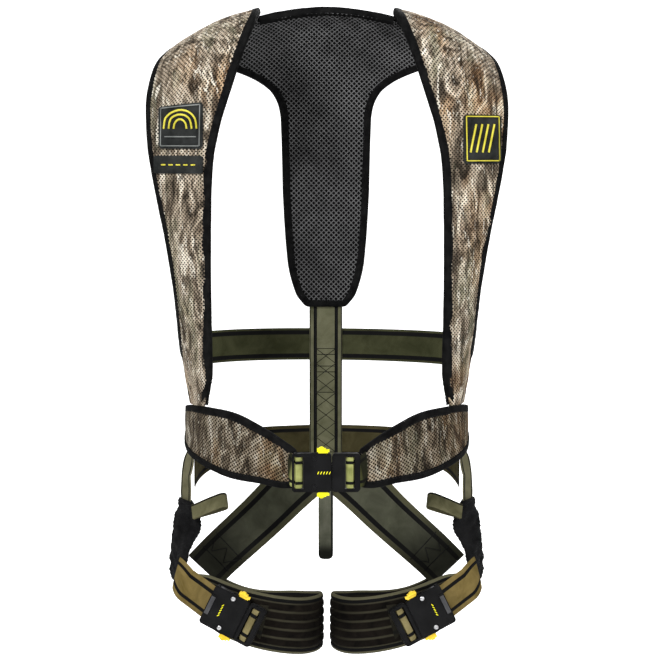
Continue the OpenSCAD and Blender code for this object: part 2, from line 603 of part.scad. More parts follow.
color(yellow) right() at_leg() mirror([0, 1, 0]) tab(web_w);  // leg_tab_upper_right
color(yellow) at_leg() tab(web_w);  // leg_tab_lower_left
color(yellow) right() at_leg() tab(web_w);  // leg_tab_lower_right
color(black) at_leg() tongue(web_w, leg_tongue_x);  // leg_tongue_left
color(black) right() at_leg() tongue(web_w, leg_tongue_x);  // leg_tongue_right
color(olive) leg_tongue_webbing();  // leg_tongue_webbing_left
color(olive) right() leg_tongue_webbing();  // leg_tongue_webbing_right
color(olive) gear_loop();  // gear_loop_left
color(olive) right() gear_loop();  // gear_loop_right
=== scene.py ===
"""Looks for the safety harness vest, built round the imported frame. Lengths in the helpers are millimetres."""
import math

import bpy
import numpy as np
from numpy import clip, cos, linspace, pi, radians, sin, sqrt
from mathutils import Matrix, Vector


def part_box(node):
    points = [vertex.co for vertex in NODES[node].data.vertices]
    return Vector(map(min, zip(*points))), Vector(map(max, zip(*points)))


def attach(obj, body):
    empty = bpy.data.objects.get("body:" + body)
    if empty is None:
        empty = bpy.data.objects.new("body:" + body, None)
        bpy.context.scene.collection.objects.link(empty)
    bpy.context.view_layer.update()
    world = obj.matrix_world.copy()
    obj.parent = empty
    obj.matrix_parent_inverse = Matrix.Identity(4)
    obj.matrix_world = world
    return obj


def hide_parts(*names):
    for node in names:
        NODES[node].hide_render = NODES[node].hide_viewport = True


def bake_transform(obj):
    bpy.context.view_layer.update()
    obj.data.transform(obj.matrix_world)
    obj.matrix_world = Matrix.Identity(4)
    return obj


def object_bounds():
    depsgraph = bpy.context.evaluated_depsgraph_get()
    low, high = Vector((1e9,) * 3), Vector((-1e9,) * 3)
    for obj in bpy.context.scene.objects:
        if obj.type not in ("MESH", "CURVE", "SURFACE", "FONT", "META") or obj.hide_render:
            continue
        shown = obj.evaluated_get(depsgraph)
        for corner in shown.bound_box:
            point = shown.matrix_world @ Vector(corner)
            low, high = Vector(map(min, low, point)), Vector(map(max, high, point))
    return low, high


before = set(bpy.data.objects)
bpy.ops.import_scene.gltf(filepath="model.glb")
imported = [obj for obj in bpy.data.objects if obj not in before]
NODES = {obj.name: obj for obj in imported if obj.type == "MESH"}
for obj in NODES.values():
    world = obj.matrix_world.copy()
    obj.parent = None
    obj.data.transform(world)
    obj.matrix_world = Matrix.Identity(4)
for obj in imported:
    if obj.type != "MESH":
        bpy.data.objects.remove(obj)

BOX_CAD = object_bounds()
cat = np.concatenate
rng = np.random.default_rng(7)
MAIN_W, BELT_W, SMALL_W = 44, 38, 20  # widths of webbing

# ---------------- the wearer's surface (the same curves as the CAD)
WAIST_A, WAIST_B, CHEST_A, CHEST_B = 168.0, 130.0, 248.0, 105.0
SHOULDER_Z, CAP_RISE = 400.0, 142.0
CAP_SPEED = CAP_RISE * math.pi
LINING, COVER = (1.2, 2.8), (5.3, 6.6)
DORSAL, BACK_COVER, SEAT = (3.3, 5.0), (5.4, 6.9), (5.5, 7.2)
BELT_LINING, BELT_WEB, BELT_COVER = (6.6, 8.1), (8.6, 10.3), (10.8, 12.2)


def num(x):
    return np.asarray(x, float)


def vec(*parts):
    return np.stack(parts, -1)


def wide(x, n):
    """A column of values repeated n times across."""
    return np.repeat(x[:, None], n, 1)


def along(at, s, src):
    """The columns of src, known at the distances s, read at the distances at."""
    return vec(*[np.interp(at, s, column) for column in src.T])


def ease(t):
    t = clip(t, 0, 1)
    return (1 - cos(pi * t)) / 2


def smooth(a, b, x):
    t = clip((x - a) / (b - a), 0, 1)
    return t * t * (3 - 2 * t)


def through(k, q):
    k = num(k)
    q = num(q)
    i = clip(np.searchsorted(k[:, 0], q, side="right") - 1, 0, len(k) - 2)
    h = k[i + 1, 0] - k[i, 0]
    t = clip((q - k[i, 0]) / h, 0, 1)
    lo, hi = np.maximum(np.arange(len(k)) - 1, 0), np.minimum(np.arange(len(k)) + 1, len(k) - 1)
    slope = (k[hi, 1] - k[lo, 1]) / (k[hi, 0] - k[lo, 0])
    return ((2 * t**3 - 3 * t**2 + 1) * k[i, 1] + (t**3 - 2 * t**2 + t) * h * slope[i]
            + (3 * t**2 - 2 * t**3) * k[i + 1, 1] + (t**3 - t**2) * h * slope[i + 1])


def fall(x, a, p):
    return np.maximum(0.01, 1 - abs(x / a) ** p) ** (1 / p)


def body(x, q):
    x, q = np.broadcast_arrays(num(x), num(q))
    z = np.where(q < 0, SHOULDER_Z + CAP_SPEED * q, SHOULDER_Z - CAP_SPEED * (q - 1))
    a = WAIST_A + (CHEST_A - WAIST_A) * ease(z / SHOULDER_Z)
    b = WAIST_B + (CHEST_B - WAIST_B) * clip(z / SHOULDER_Z, 0, 1)
    wall = vec(x, np.where(q < 0, 1, -1) * b * fall(x, a, 2 - 0.25 * ease((z - 150) / 250)), z)
    t = pi * clip(q, 0, 1)
    r = (abs(cos(t)) ** 3 + abs(sin(t)) ** 3) ** (-1 / 3)
    f = fall(x, CHEST_A, 1.75)
    cap = vec(x, CHEST_B * f * r * cos(t), SHOULDER_Z + CAP_RISE * f * r * sin(t))
    return np.where(((q >= 0) & (q <= 1))[..., None], cap, wall)


def unit(v):
    return v / np.maximum(np.linalg.norm(v, axis=-1, keepdims=True), 1e-12)


def body_n(x, q):
    return unit(np.cross(body(x, q + 0.002) - body(x, q - 0.002), body(x + 0.5, q) - body(x - 0.5, q)))


def q_rear(z):
    return (z - SHOULDER_Z) / CAP_SPEED


def q_front(z):
    return 1 + (SHOULDER_Z - z) / CAP_SPEED


def waist_n(t):
    return unit(vec(cos(t) / WAIST_A, -sin(t) / WAIST_B, 0 * t))


def waist(t, z, level):
    t, z, level = np.broadcast_arrays(radians(num(t)), num(z), num(level))
    out = level + flare(z)
    return vec(WAIST_A * cos(t), -WAIST_B * sin(t), z) + out[..., None] * waist_n(t)


def flare(z):
    return 0.2 * np.maximum(0, -num(z) - 5)


# ---------------- small repeatable noise
_wave = rng.uniform(-1, 1, (24, 3))
_phase = rng.uniform(0, 2 * pi, 24)


def ripple(p, size, seed=0):
    """Smooth noise of points in mm, about -1 to 1, with features about size mm across."""
    k = np.roll(_wave, seed, 0)[:12]
    k = unit(k) * (0.7 + 0.6 * abs(np.roll(_wave, seed + 3, 0)[:12, :1])) * 2 * pi / size
    s = sin(np.asarray(p) @ k.T + np.roll(_phase, seed)[:12])
    return s.sum(-1) / 4.2


def lattice(s, t, pitch):
    """0 on the strands of a diamond mesh and 1 in the middle of its holes."""
    a, b = (s + t) / pitch, (s - t) / pitch
    m = np.maximum(abs(a - np.floor(a) - 0.5), abs(b - np.floor(b) - 0.5)) * 2
    return 1 - smooth(0.36, 0.68, m)


# ---------------- meshes
def new_mesh(name, verts, faces, uv=None, norm=None, smooth_shade=True):
    """verts in mm; uv and norm are per-vertex maps: millimetres on the cloth, and 0 to 1 across and along."""
    me = bpy.data.meshes.new(name)
    me.from_pydata((np.asarray(verts) * 0.001).tolist(), [], [tuple(int(i) for i in f) for f in faces])
    loops = np.empty(len(me.loops), int)
    me.loops.foreach_get("vertex_index", loops)
    for key, data in (("UVMap", uv), ("Norm", norm)):
        if data is not None:
            me.uv_layers.new(name=key).data.foreach_set("uv", num(data)[loops].ravel())
    me.polygons.foreach_set("use_smooth", [smooth_shade] * len(me.polygons))
    me.update()
    o = bpy.data.objects.new(name, me)
    bpy.context.scene.collection.objects.link(o)
    return o


def quads(nu, nv, wrap_v=False, wrap_u=False):
    u, v = np.meshgrid(np.arange(nu if wrap_u else nu - 1), np.arange(nv if wrap_v else nv - 1), indexing="ij")
    here, below, right = u * nv, (u + 1) % nu * nv, (v + 1) % nv
    return vec(here + v, here + right, below + right, below + v).reshape(-1, 4)


def caps(nu, nv):
    """The two end faces of a tube of nu rings of nv points."""
    return [tuple(range(nv)), tuple(range(nu * nv - 1, (nu - 1) * nv - 1, -1))]


def as_parts(points, f, uv, norm):
    return points.reshape(-1, 3), f, uv.reshape(-1, 2), norm.reshape(-1, 2)


def joined(parts):
    """Joins [(verts, faces, uv, norm), ...] into one such tuple."""
    off, vs, fs, us, ns = 0, [], [], [], []
    for v, f, u, n in parts:
        vs.append(v)
        fs += [tuple(int(i) + off for i in face) for face in f]
        us.append(u)
        ns.append(n)
        off += len(v)
    return cat(vs), fs, cat(us), cat(ns)


def arc(p):
    return cat([[0], np.cumsum(np.linalg.norm(np.diff(p, axis=0), axis=-1))])


def resample(path, step, closed=False):
    path = num(path)
    if closed:
        path = cat([path, path[:1]])
    s = arc(path)
    n = max(2, int(round(s[-1] / step)) + 1)
    at = linspace(0, s[-1], n)
    out = along(at, s, path)
    return out[:-1] if closed else out


def soften(path, times, closed=False):
    p = np.array(path, float)
    for _ in range(times):
        if closed:
            p = (np.roll(p, 1, 0) + 2 * p + np.roll(p, -1, 0)) / 4
        else:
            p[1:-1] = (p[:-2] + 2 * p[1:-1] + p[2:]) / 4
    return p


def panel(name, base, normal, level, crown=0.0, mesh=None, puff=0.6, depth=1.2, flip=False, rim=1.4,
          ridge=None):
    """A cloth face on a grid of base points, with a rim. mesh is the pitch of its holes."""
    nu, nv = base.shape[:2]
    mid = base[:, nv // 2]
    t = np.repeat(arc(mid)[:, None], nv, 1)
    step = np.linalg.norm(np.diff(base, axis=1), axis=-1)
    s = cat([np.zeros((nu, 1)), np.cumsum(step, 1)], 1)
    s -= s[:, nv // 2:nv // 2 + 1]
    across = linspace(0, 1, nv)[None, :]
    h = level + crown * sqrt(clip(sin(pi * across), 0, 1))
    h = h + puff * ripple(base, 55, 2) * sin(pi * across) ** 0.6 + 0.35 * puff * ripple(base, 19, 5)
    if mesh:
        h = h - depth * lattice(s, t, mesh) * (-1 if flip else 1) + 0 * s
    if ridge is not None:
        h = h + ridge(s, t, across)
    top = base + normal * h[..., None]
    uv = vec(s, t) / 100
    nm = vec(np.broadcast_to(across, s.shape), t / t.max())
    edge, en, eu, ex = (cat([g[0], g[1:, -1], g[-1, -2::-1], g[-2:0:-1, 0]]) for g in (top, normal, uv, nm))
    under = edge - en * rim * (-1 if flip else 1)
    f = quads(nu, nv)
    g = quads(2, len(edge), wrap_v=True)
    if flip:
        f = f[:, ::-1]
    parts = [as_parts(top, f, uv, nm),
             (cat([edge, under]), g, cat([eu, eu]), cat([ex, ex]))]
    return new_mesh(name, *joined(parts))


def frames(path, across):
    d = unit(np.gradient(path, axis=0))
    c = np.broadcast_to(num(across), path.shape)
    v = unit(c - d * np.sum(c * d, -1, keepdims=True))
    return d, v, np.cross(d, v)


def band(path, across, width, thick=1.7, step=1.1, ribs=0.1, wave=0.25, nv=22, seed=0, round_end=0.0):
    """Webbing: a closed flat tube with rounded edges and woven ribs. Returns parts for joined()."""
    path, across = num(path), num(across)
    if across.ndim == 1:
        across = np.tile(across, (len(path), 1))
    width = np.broadcast_to(num(width), (len(path),))
    # spacing follows the path alone
    s = arc(path)
    n = max(3, int(s[-1] / step) + 1)
    at = linspace(0, s[-1], n)
    src = cat([path, across, width[:, None]], 1)
    both = along(at, s, src)
    both[:, :3] = soften(both[:, :3], 6)
    p, c, w = both[:, :3], both[:, 3:6], both[:, 6]
    d, v, u = frames(p, c)
    if round_end:
        back = clip((at[-1] - at) / round_end, 0, 1)
        w = w * (0.45 + 0.55 * sqrt(1 - (1 - back) ** 2))
    ang = linspace(-1, 1, nv)
    top = vec(ang, np.full(nv, 0.5) * sqrt(1 - np.abs(ang) ** 14))
    loop = cat([top, top[::-1] * [1, -1]])
    across_n = loop[:, 0]
    a = across_n[None, :] * w[:, None] / 2
    h = loop[:, 1][None, :] * thick
    weave = sin(2 * pi * (at[:, None] / 2.4 + np.abs(((a / 5.5) % 2) - 1)))
    h = h + ribs * weave * np.sign(loop[:, 1])[None, :] * (np.abs(loop[:, 1])[None, :] > 0.2)
    lift = wave * ripple(p, 70, seed)
    pts = p[:, None] + v[:, None] * a[..., None] + u[:, None] * (h + lift[:, None])[..., None]
    m = pts.shape[1]
    uv = vec(a, wide(at, m)) / 100
    nm = vec(np.tile((across_n[None, :] + 1) / 2, (len(p), 1)), np.repeat(at[:, None] / at[-1], m, 1))
    f = list(quads(len(p), m, wrap_v=True)[:, ::-1]) + caps(len(p), m)
    return as_parts(pts, f, uv, nm)


def strap(name, path, across, width, **kw):
    return new_mesh(name, *band(path, across, width, **kw))


def tube(path, r, sides=6, closed=False):
    """A round cord; parts for joined()."""
    p = num(path)
    d = unit(np.gradient(p, axis=0)) if not closed else unit(np.roll(p, -1, 0) - np.roll(p, 1, 0))
    ref = np.array([0.31, 0.19, 0.93])
    v = unit(np.cross(d, ref))
    u = np.cross(d, v)
    t = linspace(0, 2 * pi, sides, endpoint=False)
    r = np.broadcast_to(num(r), (len(p),))[:, None, None]
    pts = p[:, None] + r * (v[:, None] * cos(t)[None, :, None] + u[:, None] * sin(t)[None, :, None])
    f = list(quads(len(p), sides, wrap_v=True, wrap_u=closed)[:, ::-1]) + ([]
            if closed else caps(len(p), sides))
    s = np.repeat(arc(p)[:, None], sides, 1)
    uv = vec(np.tile(t, (len(p), 1)) * r[..., 0], s) / 100
    return as_parts(pts, f, uv, uv)


def stitches(path, normal, pitch=4.2, length=2.9, r=0.32, closed=False):
    """Thread stitches along a path; parts for joined()."""
    src = cat([path, np.broadcast_to(normal, np.shape(path))], 1)
    if closed:
        src = cat([src, src[:1]])
    s = arc(src[:, :3])
    out = []
    for k in range(int(s[-1] / pitch)):
        at = (k + 0.5) * pitch + np.array([-0.5, -0.3, 0, 0.3, 0.5]) * length
        p = along(at, s, src)
        dip = np.array([-0.45, 0.12, 0.26, 0.12, -0.45])[:, None]
        out.append(tube(p[:, :3] + p[:, 3:] * dip, [r * 0.7, r, r, r, r * 0.7], 5))
    return out


# ---------------- materials
class Nodes:
    def __init__(self, name, rough=0.8, spec=0.3):
        self.m = bpy.data.materials.new(name)
        self.m.use_nodes = True
        self.t = self.m.node_tree
        self.bsdf = self.t.nodes["Principled BSDF"]
        self.bsdf.inputs["Roughness"].default_value = rough
        self.bsdf.inputs["Specular IOR Level"].default_value = spec * (0.12 if rough >= 0.6 else 0.22)
        self.co = self.new("TexCoord").outputs["Object"]

    def new(self, kind):
        return self.t.nodes.new("ShaderNode" + kind)

    def put(self, socket, value):
        if isinstance(value, bpy.types.NodeSocket):
            self.t.links.new(value, socket)
        elif value is not None:
            socket.default_value = value

    def math(self, op, a, b=None, c=None, clamp=False):
        n = self.new("Math")
        n.operation, n.use_clamp = op, clamp
        for i, v in enumerate((a, b, c)):
            self.put(n.inputs[i], v)
        return n.outputs[0]

    def mul(self, a, b):
        return self.math("MULTIPLY", a, b)

    def add(self, a, b):
        return self.math("ADD", a, b)

    def sub(self, a, b):
        return self.math("SUBTRACT", a, b)

    def uv(self, layer="UVMap"):
        n = self.new("UVMap")
        n.uv_map = layer
        s = self.new("SeparateXYZ")
        self.t.links.new(n.outputs[0], s.inputs[0])
        return s.outputs[0], s.outputs[1]

    def scaled(self, x, y, z, co=None):
        n = self.new("Mapping")
        n.inputs["Scale"].default_value = (x, y, z)
        self.t.links.new(co or self.co, n.inputs["Vector"])
        return n.outputs[0]

    def noise(self, vec, scale, detail=4, rough=0.55, warp=0.0):
        n = self.new("TexNoise")
        self.t.links.new(vec, n.inputs["Vector"])
        n.inputs["Scale"].default_value = scale
        n.inputs["Detail"].default_value = detail
        n.inputs["Roughness"].default_value = rough
        n.inputs["Distortion"].default_value = warp
        return n.outputs[0]

    def ramp(self, fac, stops, mode="LINEAR"):
        n = self.new("ValToRGB")
        n.color_ramp.interpolation = mode
        el = n.color_ramp.elements
        while len(el) < len(stops):
            el.new(0.5)
        for e, (p, c) in zip(el, stops):
            e.position = p
            e.color = (*(c if len(c) == 3 else (c[0],) * 3), 1)
        self.t.links.new(fac, n.inputs[0])
        return n.outputs[0]

    def mix(self, fac, a, b, mode="MIX"):
        n = self.new("Mix")
        n.data_type, n.blend_type = "RGBA", mode
        self.put(n.inputs[0], fac)
        for s, v in ((n.inputs[6], a), (n.inputs[7], b)):
            self.put(s, (*v, 1) if isinstance(v, tuple) else v)
        return n.outputs[2]

    def bump(self, height, strength=0.3, distance=0.0005):
        n = self.new("Bump")
        n.inputs["Strength"].default_value = strength
        n.inputs["Distance"].default_value = distance
        self.t.links.new(height, n.inputs["Height"])
        self.t.links.new(n.outputs[0], self.bsdf.inputs["Normal"])

    def rise(self, x, low, high, start, end):
        """A smooth step of x, from start at low to end at high."""
        n = self.new("MapRange")
        n.interpolation_type = "SMOOTHSTEP"
        for i, value in enumerate((x, low, high, start, end)):
            self.put(n.inputs[i], value)
        return n.outputs[0]

    def yarn(self, x, pitch):
        """Ridges pitch mm apart along x, which counts 100 mm."""
        return self.math("SINE", self.mul(x, 100 * 2 * math.pi / pitch))

    def between(self, x, low, high):
        return self.mul(self.math("GREATER_THAN", x, low), self.math("LESS_THAN", x, high))

    def fuzz(self, height, size, gain, detail=2):
        return self.add(height, self.mul(self.noise(self.co, size, detail), gain))

    def hole(self, pitch, lo=0.40, hi=0.62):
        """1 in the holes of the diamond mesh, from the cloth's millimetres."""
        s, t = self.uv()
        k = 100 / pitch
        a, b = (self.math("FRACT", self.mul(x, k)) for x in (self.add(s, t), self.sub(s, t)))
        a, b = (self.math("ABSOLUTE", self.sub(x, 0.5)) for x in (a, b))
        return self.rise(self.mul(self.math("MAXIMUM", a, b), 2), lo, hi, 1.0, 0.0)

    def color(self, c):
        self.put(self.bsdf.inputs["Base Color"], (*c, 1) if isinstance(c, tuple) else c)


def camo(name="camo_mesh", pitch=4.8, gain=1.0, open_=(0.42, 0.68)):
    n = Nodes(name, 0.78, 0.25)
    bark = n.noise(n.scaled(1.0, 1.0, 0.34), 62, 6, 0.62, 1.4)
    base = n.ramp(bark, [(0.33, (0.030, 0.024, 0.017)), (0.43, (0.14, 0.11, 0.08)), (0.51, (0.33, 0.27, 0.20)),
                         (0.59, (0.55, 0.48, 0.38)), (0.70, (0.93, 0.88, 0.76))])
    # warm and cool patches, then dark twigs and pale flecks
    for stretch, size, detail, warp, low, high, depth, tint, mode in (
            ((1.0, 1.0, 0.5), 17, 3, 0.6, 0.50, 0.66, 0.75, (0.36, 0.20, 0.085), "SOFT_LIGHT"),
            ((1.3, 1.0, 0.3), 29, 3, 0.8, 0.54, 0.72, 0.55, (0.30, 0.30, 0.20), "MIX"),
            ((1.0, 1.0, 0.16), 95, 3, 2.2, 0.56, 0.62, 0.75, (0.035, 0.028, 0.02), "MIX"),
            ((1.0, 1.0, 0.22), 120, 2, 1.5, 0.60, 0.68, 0.8, (0.78, 0.73, 0.62), "MIX")):
        patches = n.noise(n.scaled(*stretch), size, detail, 0.5, warp)
        base = n.mix(n.ramp(patches, [(low, (0,)), (high, (depth,))]), base, tint, mode)
    # a gain below 1 darkens the whole cloth: painted shade, used for the belt wings
    if gain != 1.0:
        base = n.mix(1.0, base, (gain, gain * 0.98, gain * 0.93), "MULTIPLY")
    h = n.hole(pitch, *open_)
    n.color(n.mix(n.mul(h, 0.97), base, (0.006, 0.005, 0.004)))
    n.bump(n.fuzz(n.mul(h, -1.0), 2600, 0.25), 0.6, 0.0007)
    n.put(n.bsdf.inputs["Sheen Weight"], 0.03)
    return n.m


def spacer(name="spacer_mesh", pitch=6.6):
    n = Nodes(name, 0.62, 0.4)
    h = n.hole(pitch, 0.60, 0.84)
    tone = n.noise(n.scaled(1, 1, 1), 22, 3)
    base = n.ramp(tone, [(0.3, (0.075, 0.075, 0.076)), (0.7, (0.15, 0.15, 0.152))])
    n.color(n.mix(h, base, (0.0008, 0.0008, 0.0008)))
    n.bump(n.fuzz(n.mul(h, -1.0), 2400, 0.3), 0.7, 0.0009)
    return n.m


def tape(name="binding_tape"):
    n = Nodes(name, 0.7, 0.35)
    rib = n.yarn(n.uv()[1], 1.1)
    wear = n.noise(n.co, 90, 4)
    n.color(n.ramp(wear, [(0.35, (0.002, 0.002, 0.0022)), (0.72, (0.008, 0.008, 0.008))]))
    n.bump(n.fuzz(rib, 1800, 1.2), 0.35, 0.0004)
    return n.m


def webbing(name, body_c, light_c, stripes, edge_c=None, dark_ends=None, speck=0.2):
    """stripes is a list of (low, high) across the strap, 0 at one edge and 1 at the other."""
    n = Nodes(name, 0.72, 0.3)
    u, v = n.uv("Norm")
    s, t = n.uv()
    tone = n.noise(n.scaled(1, 1, 1), 34, 4, 0.6, 0.5)
    base = n.ramp(tone, [(0.32, body_c), (0.68, light_c)])
    yarn_a = n.yarn(t, 1.5)
    fold = n.math("PINGPONG", n.mul(s, 100.0), 2.75)
    yarn_b = n.math("SINE", n.mul(n.add(n.mul(t, 100.0), fold), 2 * math.pi / 1.3))
    yarn = n.mul(n.add(yarn_a, yarn_b), 0.5)
    base = n.mix(n.mul(n.add(yarn, 1.0), speck), base, tuple(c * 0.35 for c in body_c))
    if edge_c:
        far = n.math("ABSOLUTE", n.sub(u, 0.5))
        base = n.mix(n.math("GREATER_THAN", far, edge_c[0]), base, edge_c[1])
    for lo, hi in stripes:
        base = n.mix(n.between(u, lo, hi), base, (0.006, 0.006, 0.006))
    if dark_ends:
        lo, hi, depth = dark_ends
        base = n.mix(n.rise(v, lo, hi, 0.0, depth), base, (0.008, 0.008, 0.007))
    n.color(base)
    n.bump(n.fuzz(yarn, 2200, 0.8), 0.45, 0.0004)
    return n.m


def plastic(name, dark, light, rough=0.42, grain=1400, spec=0.45, bump=0.12):
    n = Nodes(name, rough, spec)
    tone = n.noise(n.co, 45, 4)
    base = n.ramp(tone, [(0.3, dark), (0.75, light)])
    scuff = n.noise(n.scaled(1, 1, 1), 260, 5, 0.7, 0.4)
    base = n.mix(n.ramp(scuff, [(0.66, (0,)), (0.74, (0.35,))]), base,
                 tuple(min(1, c * 2.2 + 0.03) for c in light))
    n.color(base)
    n.put(n.bsdf.inputs["Roughness"],
          n.ramp(n.noise(n.co, 150, 3), [(0.3, (rough - 0.08,)), (0.7, (rough + 0.14,))]))
    n.bump(n.noise(n.co, grain, 3), bump, 0.0003)
    return n.m


def steel(name="steel"):
    n = Nodes(name, 0.28, 0.5)
    n.put(n.bsdf.inputs["Metallic"], 1.0)
    n.color(n.ramp(n.noise(n.co, 700, 3), [(0.3, (0.42, 0.42, 0.43)), (0.7, (0.72, 0.72, 0.73))]))
    n.bump(n.noise(n.scaled(1, 1, 8), 900, 2), 0.1, 0.0001)
    return n.m


def cloth(name, dark, light, weave=1.2, rough=0.75, bump=0.35):
    n = Nodes(name, rough, 0.3)
    s, t = n.uv()
    n.color(n.ramp(n.noise(n.co, 55, 4, 0.6), [(0.32, dark), (0.72, light)]))
    n.bump(n.fuzz(n.mul(n.yarn(s, weave), n.yarn(t, weave)), 1700, 0.8), bump, 0.0004)
    return n.m


OLIVE, OLIVE_L = (0.085, 0.086, 0.048), (0.165, 0.163, 0.10)
M = {
    "camo": camo(),
    # painted shade: the camo mesh made darker for the belt wings, by the gain and by wider dark holes
    "camo_painted_shade": camo("camo_mesh_belt", gain=0.55, open_=(0.52, 0.80)),
    "spacer": spacer(),
    "tape": tape(),
    "dorsal": webbing("dorsal_webbing", OLIVE, OLIVE_L, [(0.13, 0.23), (0.77, 0.87)]),
    "back": webbing("back_webbing", (0.032, 0.034, 0.015), (0.066, 0.068, 0.034), [(0.07, 0.2), (0.8, 0.93)],
                    speck=0.3),
    "seat": webbing("seat_webbing", (0.034, 0.029, 0.012), (0.065, 0.056, 0.026), [(0.10, 0.2), (0.8, 0.90)],
                    speck=0.12),
    "hip": webbing("hip_webbing", (0.045, 0.047, 0.031), (0.082, 0.084, 0.058), [(0.12, 0.22), (0.78, 0.88)],
                   edge_c=(0.39, (0.066, 0.064, 0.036)), dark_ends=(0.5, 0.85, 0.72), speck=0.1),
    "leg": webbing("leg_webbing", (0.115, 0.083, 0.025), (0.225, 0.165, 0.06), [(0.14, 0.25), (0.76, 0.86)],
                   dark_ends=(0.35, 0.75, 0.15), speck=0.1),
    "leg_end": webbing("leg_webbing_end", (0.115, 0.095, 0.04), (0.25, 0.21, 0.10),
                       [(0.14, 0.25), (0.76, 0.86)],
                       dark_ends=(0.62, 0.52, 0.96), speck=0.1),
    "belt": webbing("belt_webbing", (0.16, 0.17, 0.05), (0.42, 0.44, 0.16), [(0.12, 0.22), (0.78, 0.88)],
                    dark_ends=(0.90, 0.86, 0.96), speck=0.15),
    "small": webbing("small_webbing", (0.075, 0.072, 0.036), (0.155, 0.145, 0.08), [(0.86, 0.97)], speck=0.15),
    "tail": webbing("tail_webbing", (0.085, 0.088, 0.062), (0.165, 0.168, 0.125), [(0.86, 0.97)],
                    dark_ends=(0.80, 0.93, 0.93), speck=0.12),
    "side": webbing("side_webbing", (0.10, 0.095, 0.055), (0.19, 0.175, 0.105), [(0.1, 0.2), (0.8, 0.9)],
                    speck=0.12),
    "thread": cloth("thread_black", (0.004, 0.004, 0.004), (0.02, 0.02, 0.02), 0.6, 0.6),
    "sleeve": cloth("sleeve_cloth", (0.003, 0.003, 0.0032), (0.013, 0.013, 0.0135), 1.3, 0.7, 0.5),
    "label": cloth("label_cloth", (0.010, 0.011, 0.011), (0.032, 0.034, 0.033), 0.9, 0.7),
    "label_line": cloth("label_thread", (0.50, 0.44, 0.04), (0.78, 0.70, 0.10), 0.8, 0.6),
    "label_grey": cloth("label_thread_grey", (0.12, 0.13, 0.125), (0.25, 0.26, 0.25), 0.8, 0.6),
    "plastic": plastic("buckle_black", (0.002, 0.002, 0.0022), (0.007, 0.007, 0.0075)),
    "grip": plastic("grip_grey", (0.045, 0.045, 0.047), (0.10, 0.10, 0.105), 0.5),
    "bar": plastic("bar_grey", (0.05, 0.05, 0.052), (0.11, 0.11, 0.115), 0.5),
    "yellow": plastic("tab_yellow", (0.74, 0.50, 0.03), (0.90, 0.66, 0.07), 0.38, 900, 0.5, 0.06),
    "lime": plastic("tab_lime", (0.78, 0.72, 0.01), (0.95, 0.90, 0.03), 0.36, 900, 0.5, 0.06),
    "steel": steel(),
}


def paint(o, key):
    o.data.materials.clear()
    o.data.materials.append(M[key])
    return o


def show(o, key, ride, slot, *nodes):
    paint(o, key)
    if isinstance(ride, str):
        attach(o, ride)
    else:
        a, b, start, end = ride
        tuple(np.asarray(start) / 1000)
        tuple(np.asarray(end) / 1000)
        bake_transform(o)
    if nodes:
        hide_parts(*nodes)
    return o


def flipped(parts):
    """The mirror image of (verts, faces, uv, norm)."""
    v, f, u, n = parts
    return v * [-1, 1, 1], [tuple(face[::-1]) for face in f], u * [-1, 1], n


def place(name, parts, key, ride, slot, *nodes, side="left"):
    """Shows (verts, faces, uv, norm) as a piece, mirrored for the right side."""
    return show(new_mesh(name, *(parts if side == "left" else flipped(parts))), key, ride, slot, *nodes)


def mirror_pts(p, side):
    p = np.array(p, float)
    if side == "right":
        p[..., 0] *= -1
    return p

# ---------------- back yoke
YOKE_FOOT, YOKE_TOP = q_rear(148), 0.335
YOKE = np.array([[YOKE_FOOT, 24], [q_rear(156), 34], [q_rear(175), 42], [q_rear(205), 49], [q_rear(292), 55],
                 [q_rear(362), 56.5], [0.02, 59], [0.075, 69], [0.11, 86], [0.14, 107], [0.165, 125.5],
                 [0.185, 130.4],
                 [0.22, 118], [0.28, 103], [YOKE_TOP, 90.3]])


def arc_rows(x_of_q, q0, q1, step):
    """Values of q from q0 to q1 spaced step mm apart along the body."""
    q = linspace(q0, q1, 2500)
    s = arc(body(x_of_q(q), q))
    return np.interp(np.arange(0, s[-1], step), s, q)


def between_edges(low, high, q, cols):
    """Base points and normals in rows from low(q) to high(q) across the body."""
    j = linspace(0, 1, cols)[None, :]
    x = low[:, None] * (1 - j) + high[:, None] * j
    qq = wide(q, cols)
    return body(x, qq), body_n(x, qq)


def on_side(base, n, side):
    """The rows as they are for the left, or mirrored and turned round for the right."""
    if side == "left":
        return base, n
    return (base * [-1, 1, 1])[:, ::-1], (n * [-1, 1, 1])[:, ::-1]


def yoke_grid(step):
    q = arc_rows(lambda v: 0 * v, YOKE_FOOT, YOKE_TOP, step)
    x = through(YOKE, q)[:, None] * linspace(-1, 1, 120)[None, :]
    qq = wide(q, 120)
    return body(x, qq), body_n(x, qq)


yb, yn = yoke_grid(1.25)
# the inner face of the yoke, seen from the front: padded spacer mesh that bulges towards the wearer
bulge = lambda s, t, a: -1.5 * sqrt(clip(sin(pi * a), 0, 1))
lining = panel("yoke_lining", yb, yn, LINING[0] + 0.9, 0, 5.6, puff=0.7, depth=-1.2, flip=True, rim=-1.2,
               ridge=bulge)
show(lining, "spacer", "vest", "spacer_mesh", "back_lining")
cover = panel("yoke_cover", yb, yn, BACK_COVER[1], 1.2, 4.8, puff=0.6, depth=1.1)
show(cover, "camo", "vest", "camo_mesh", "back_cover")


def edge_path(pairs, step=2.4, closed=False):
    """[x, q] places -> smooth base points and body normals."""
    pairs = num(pairs)
    fine = soften(resample(cat([body(pairs[:, 0], pairs[:, 1]), pairs], 1), step, closed), 3, closed)
    return fine[:, 3], fine[:, 4]


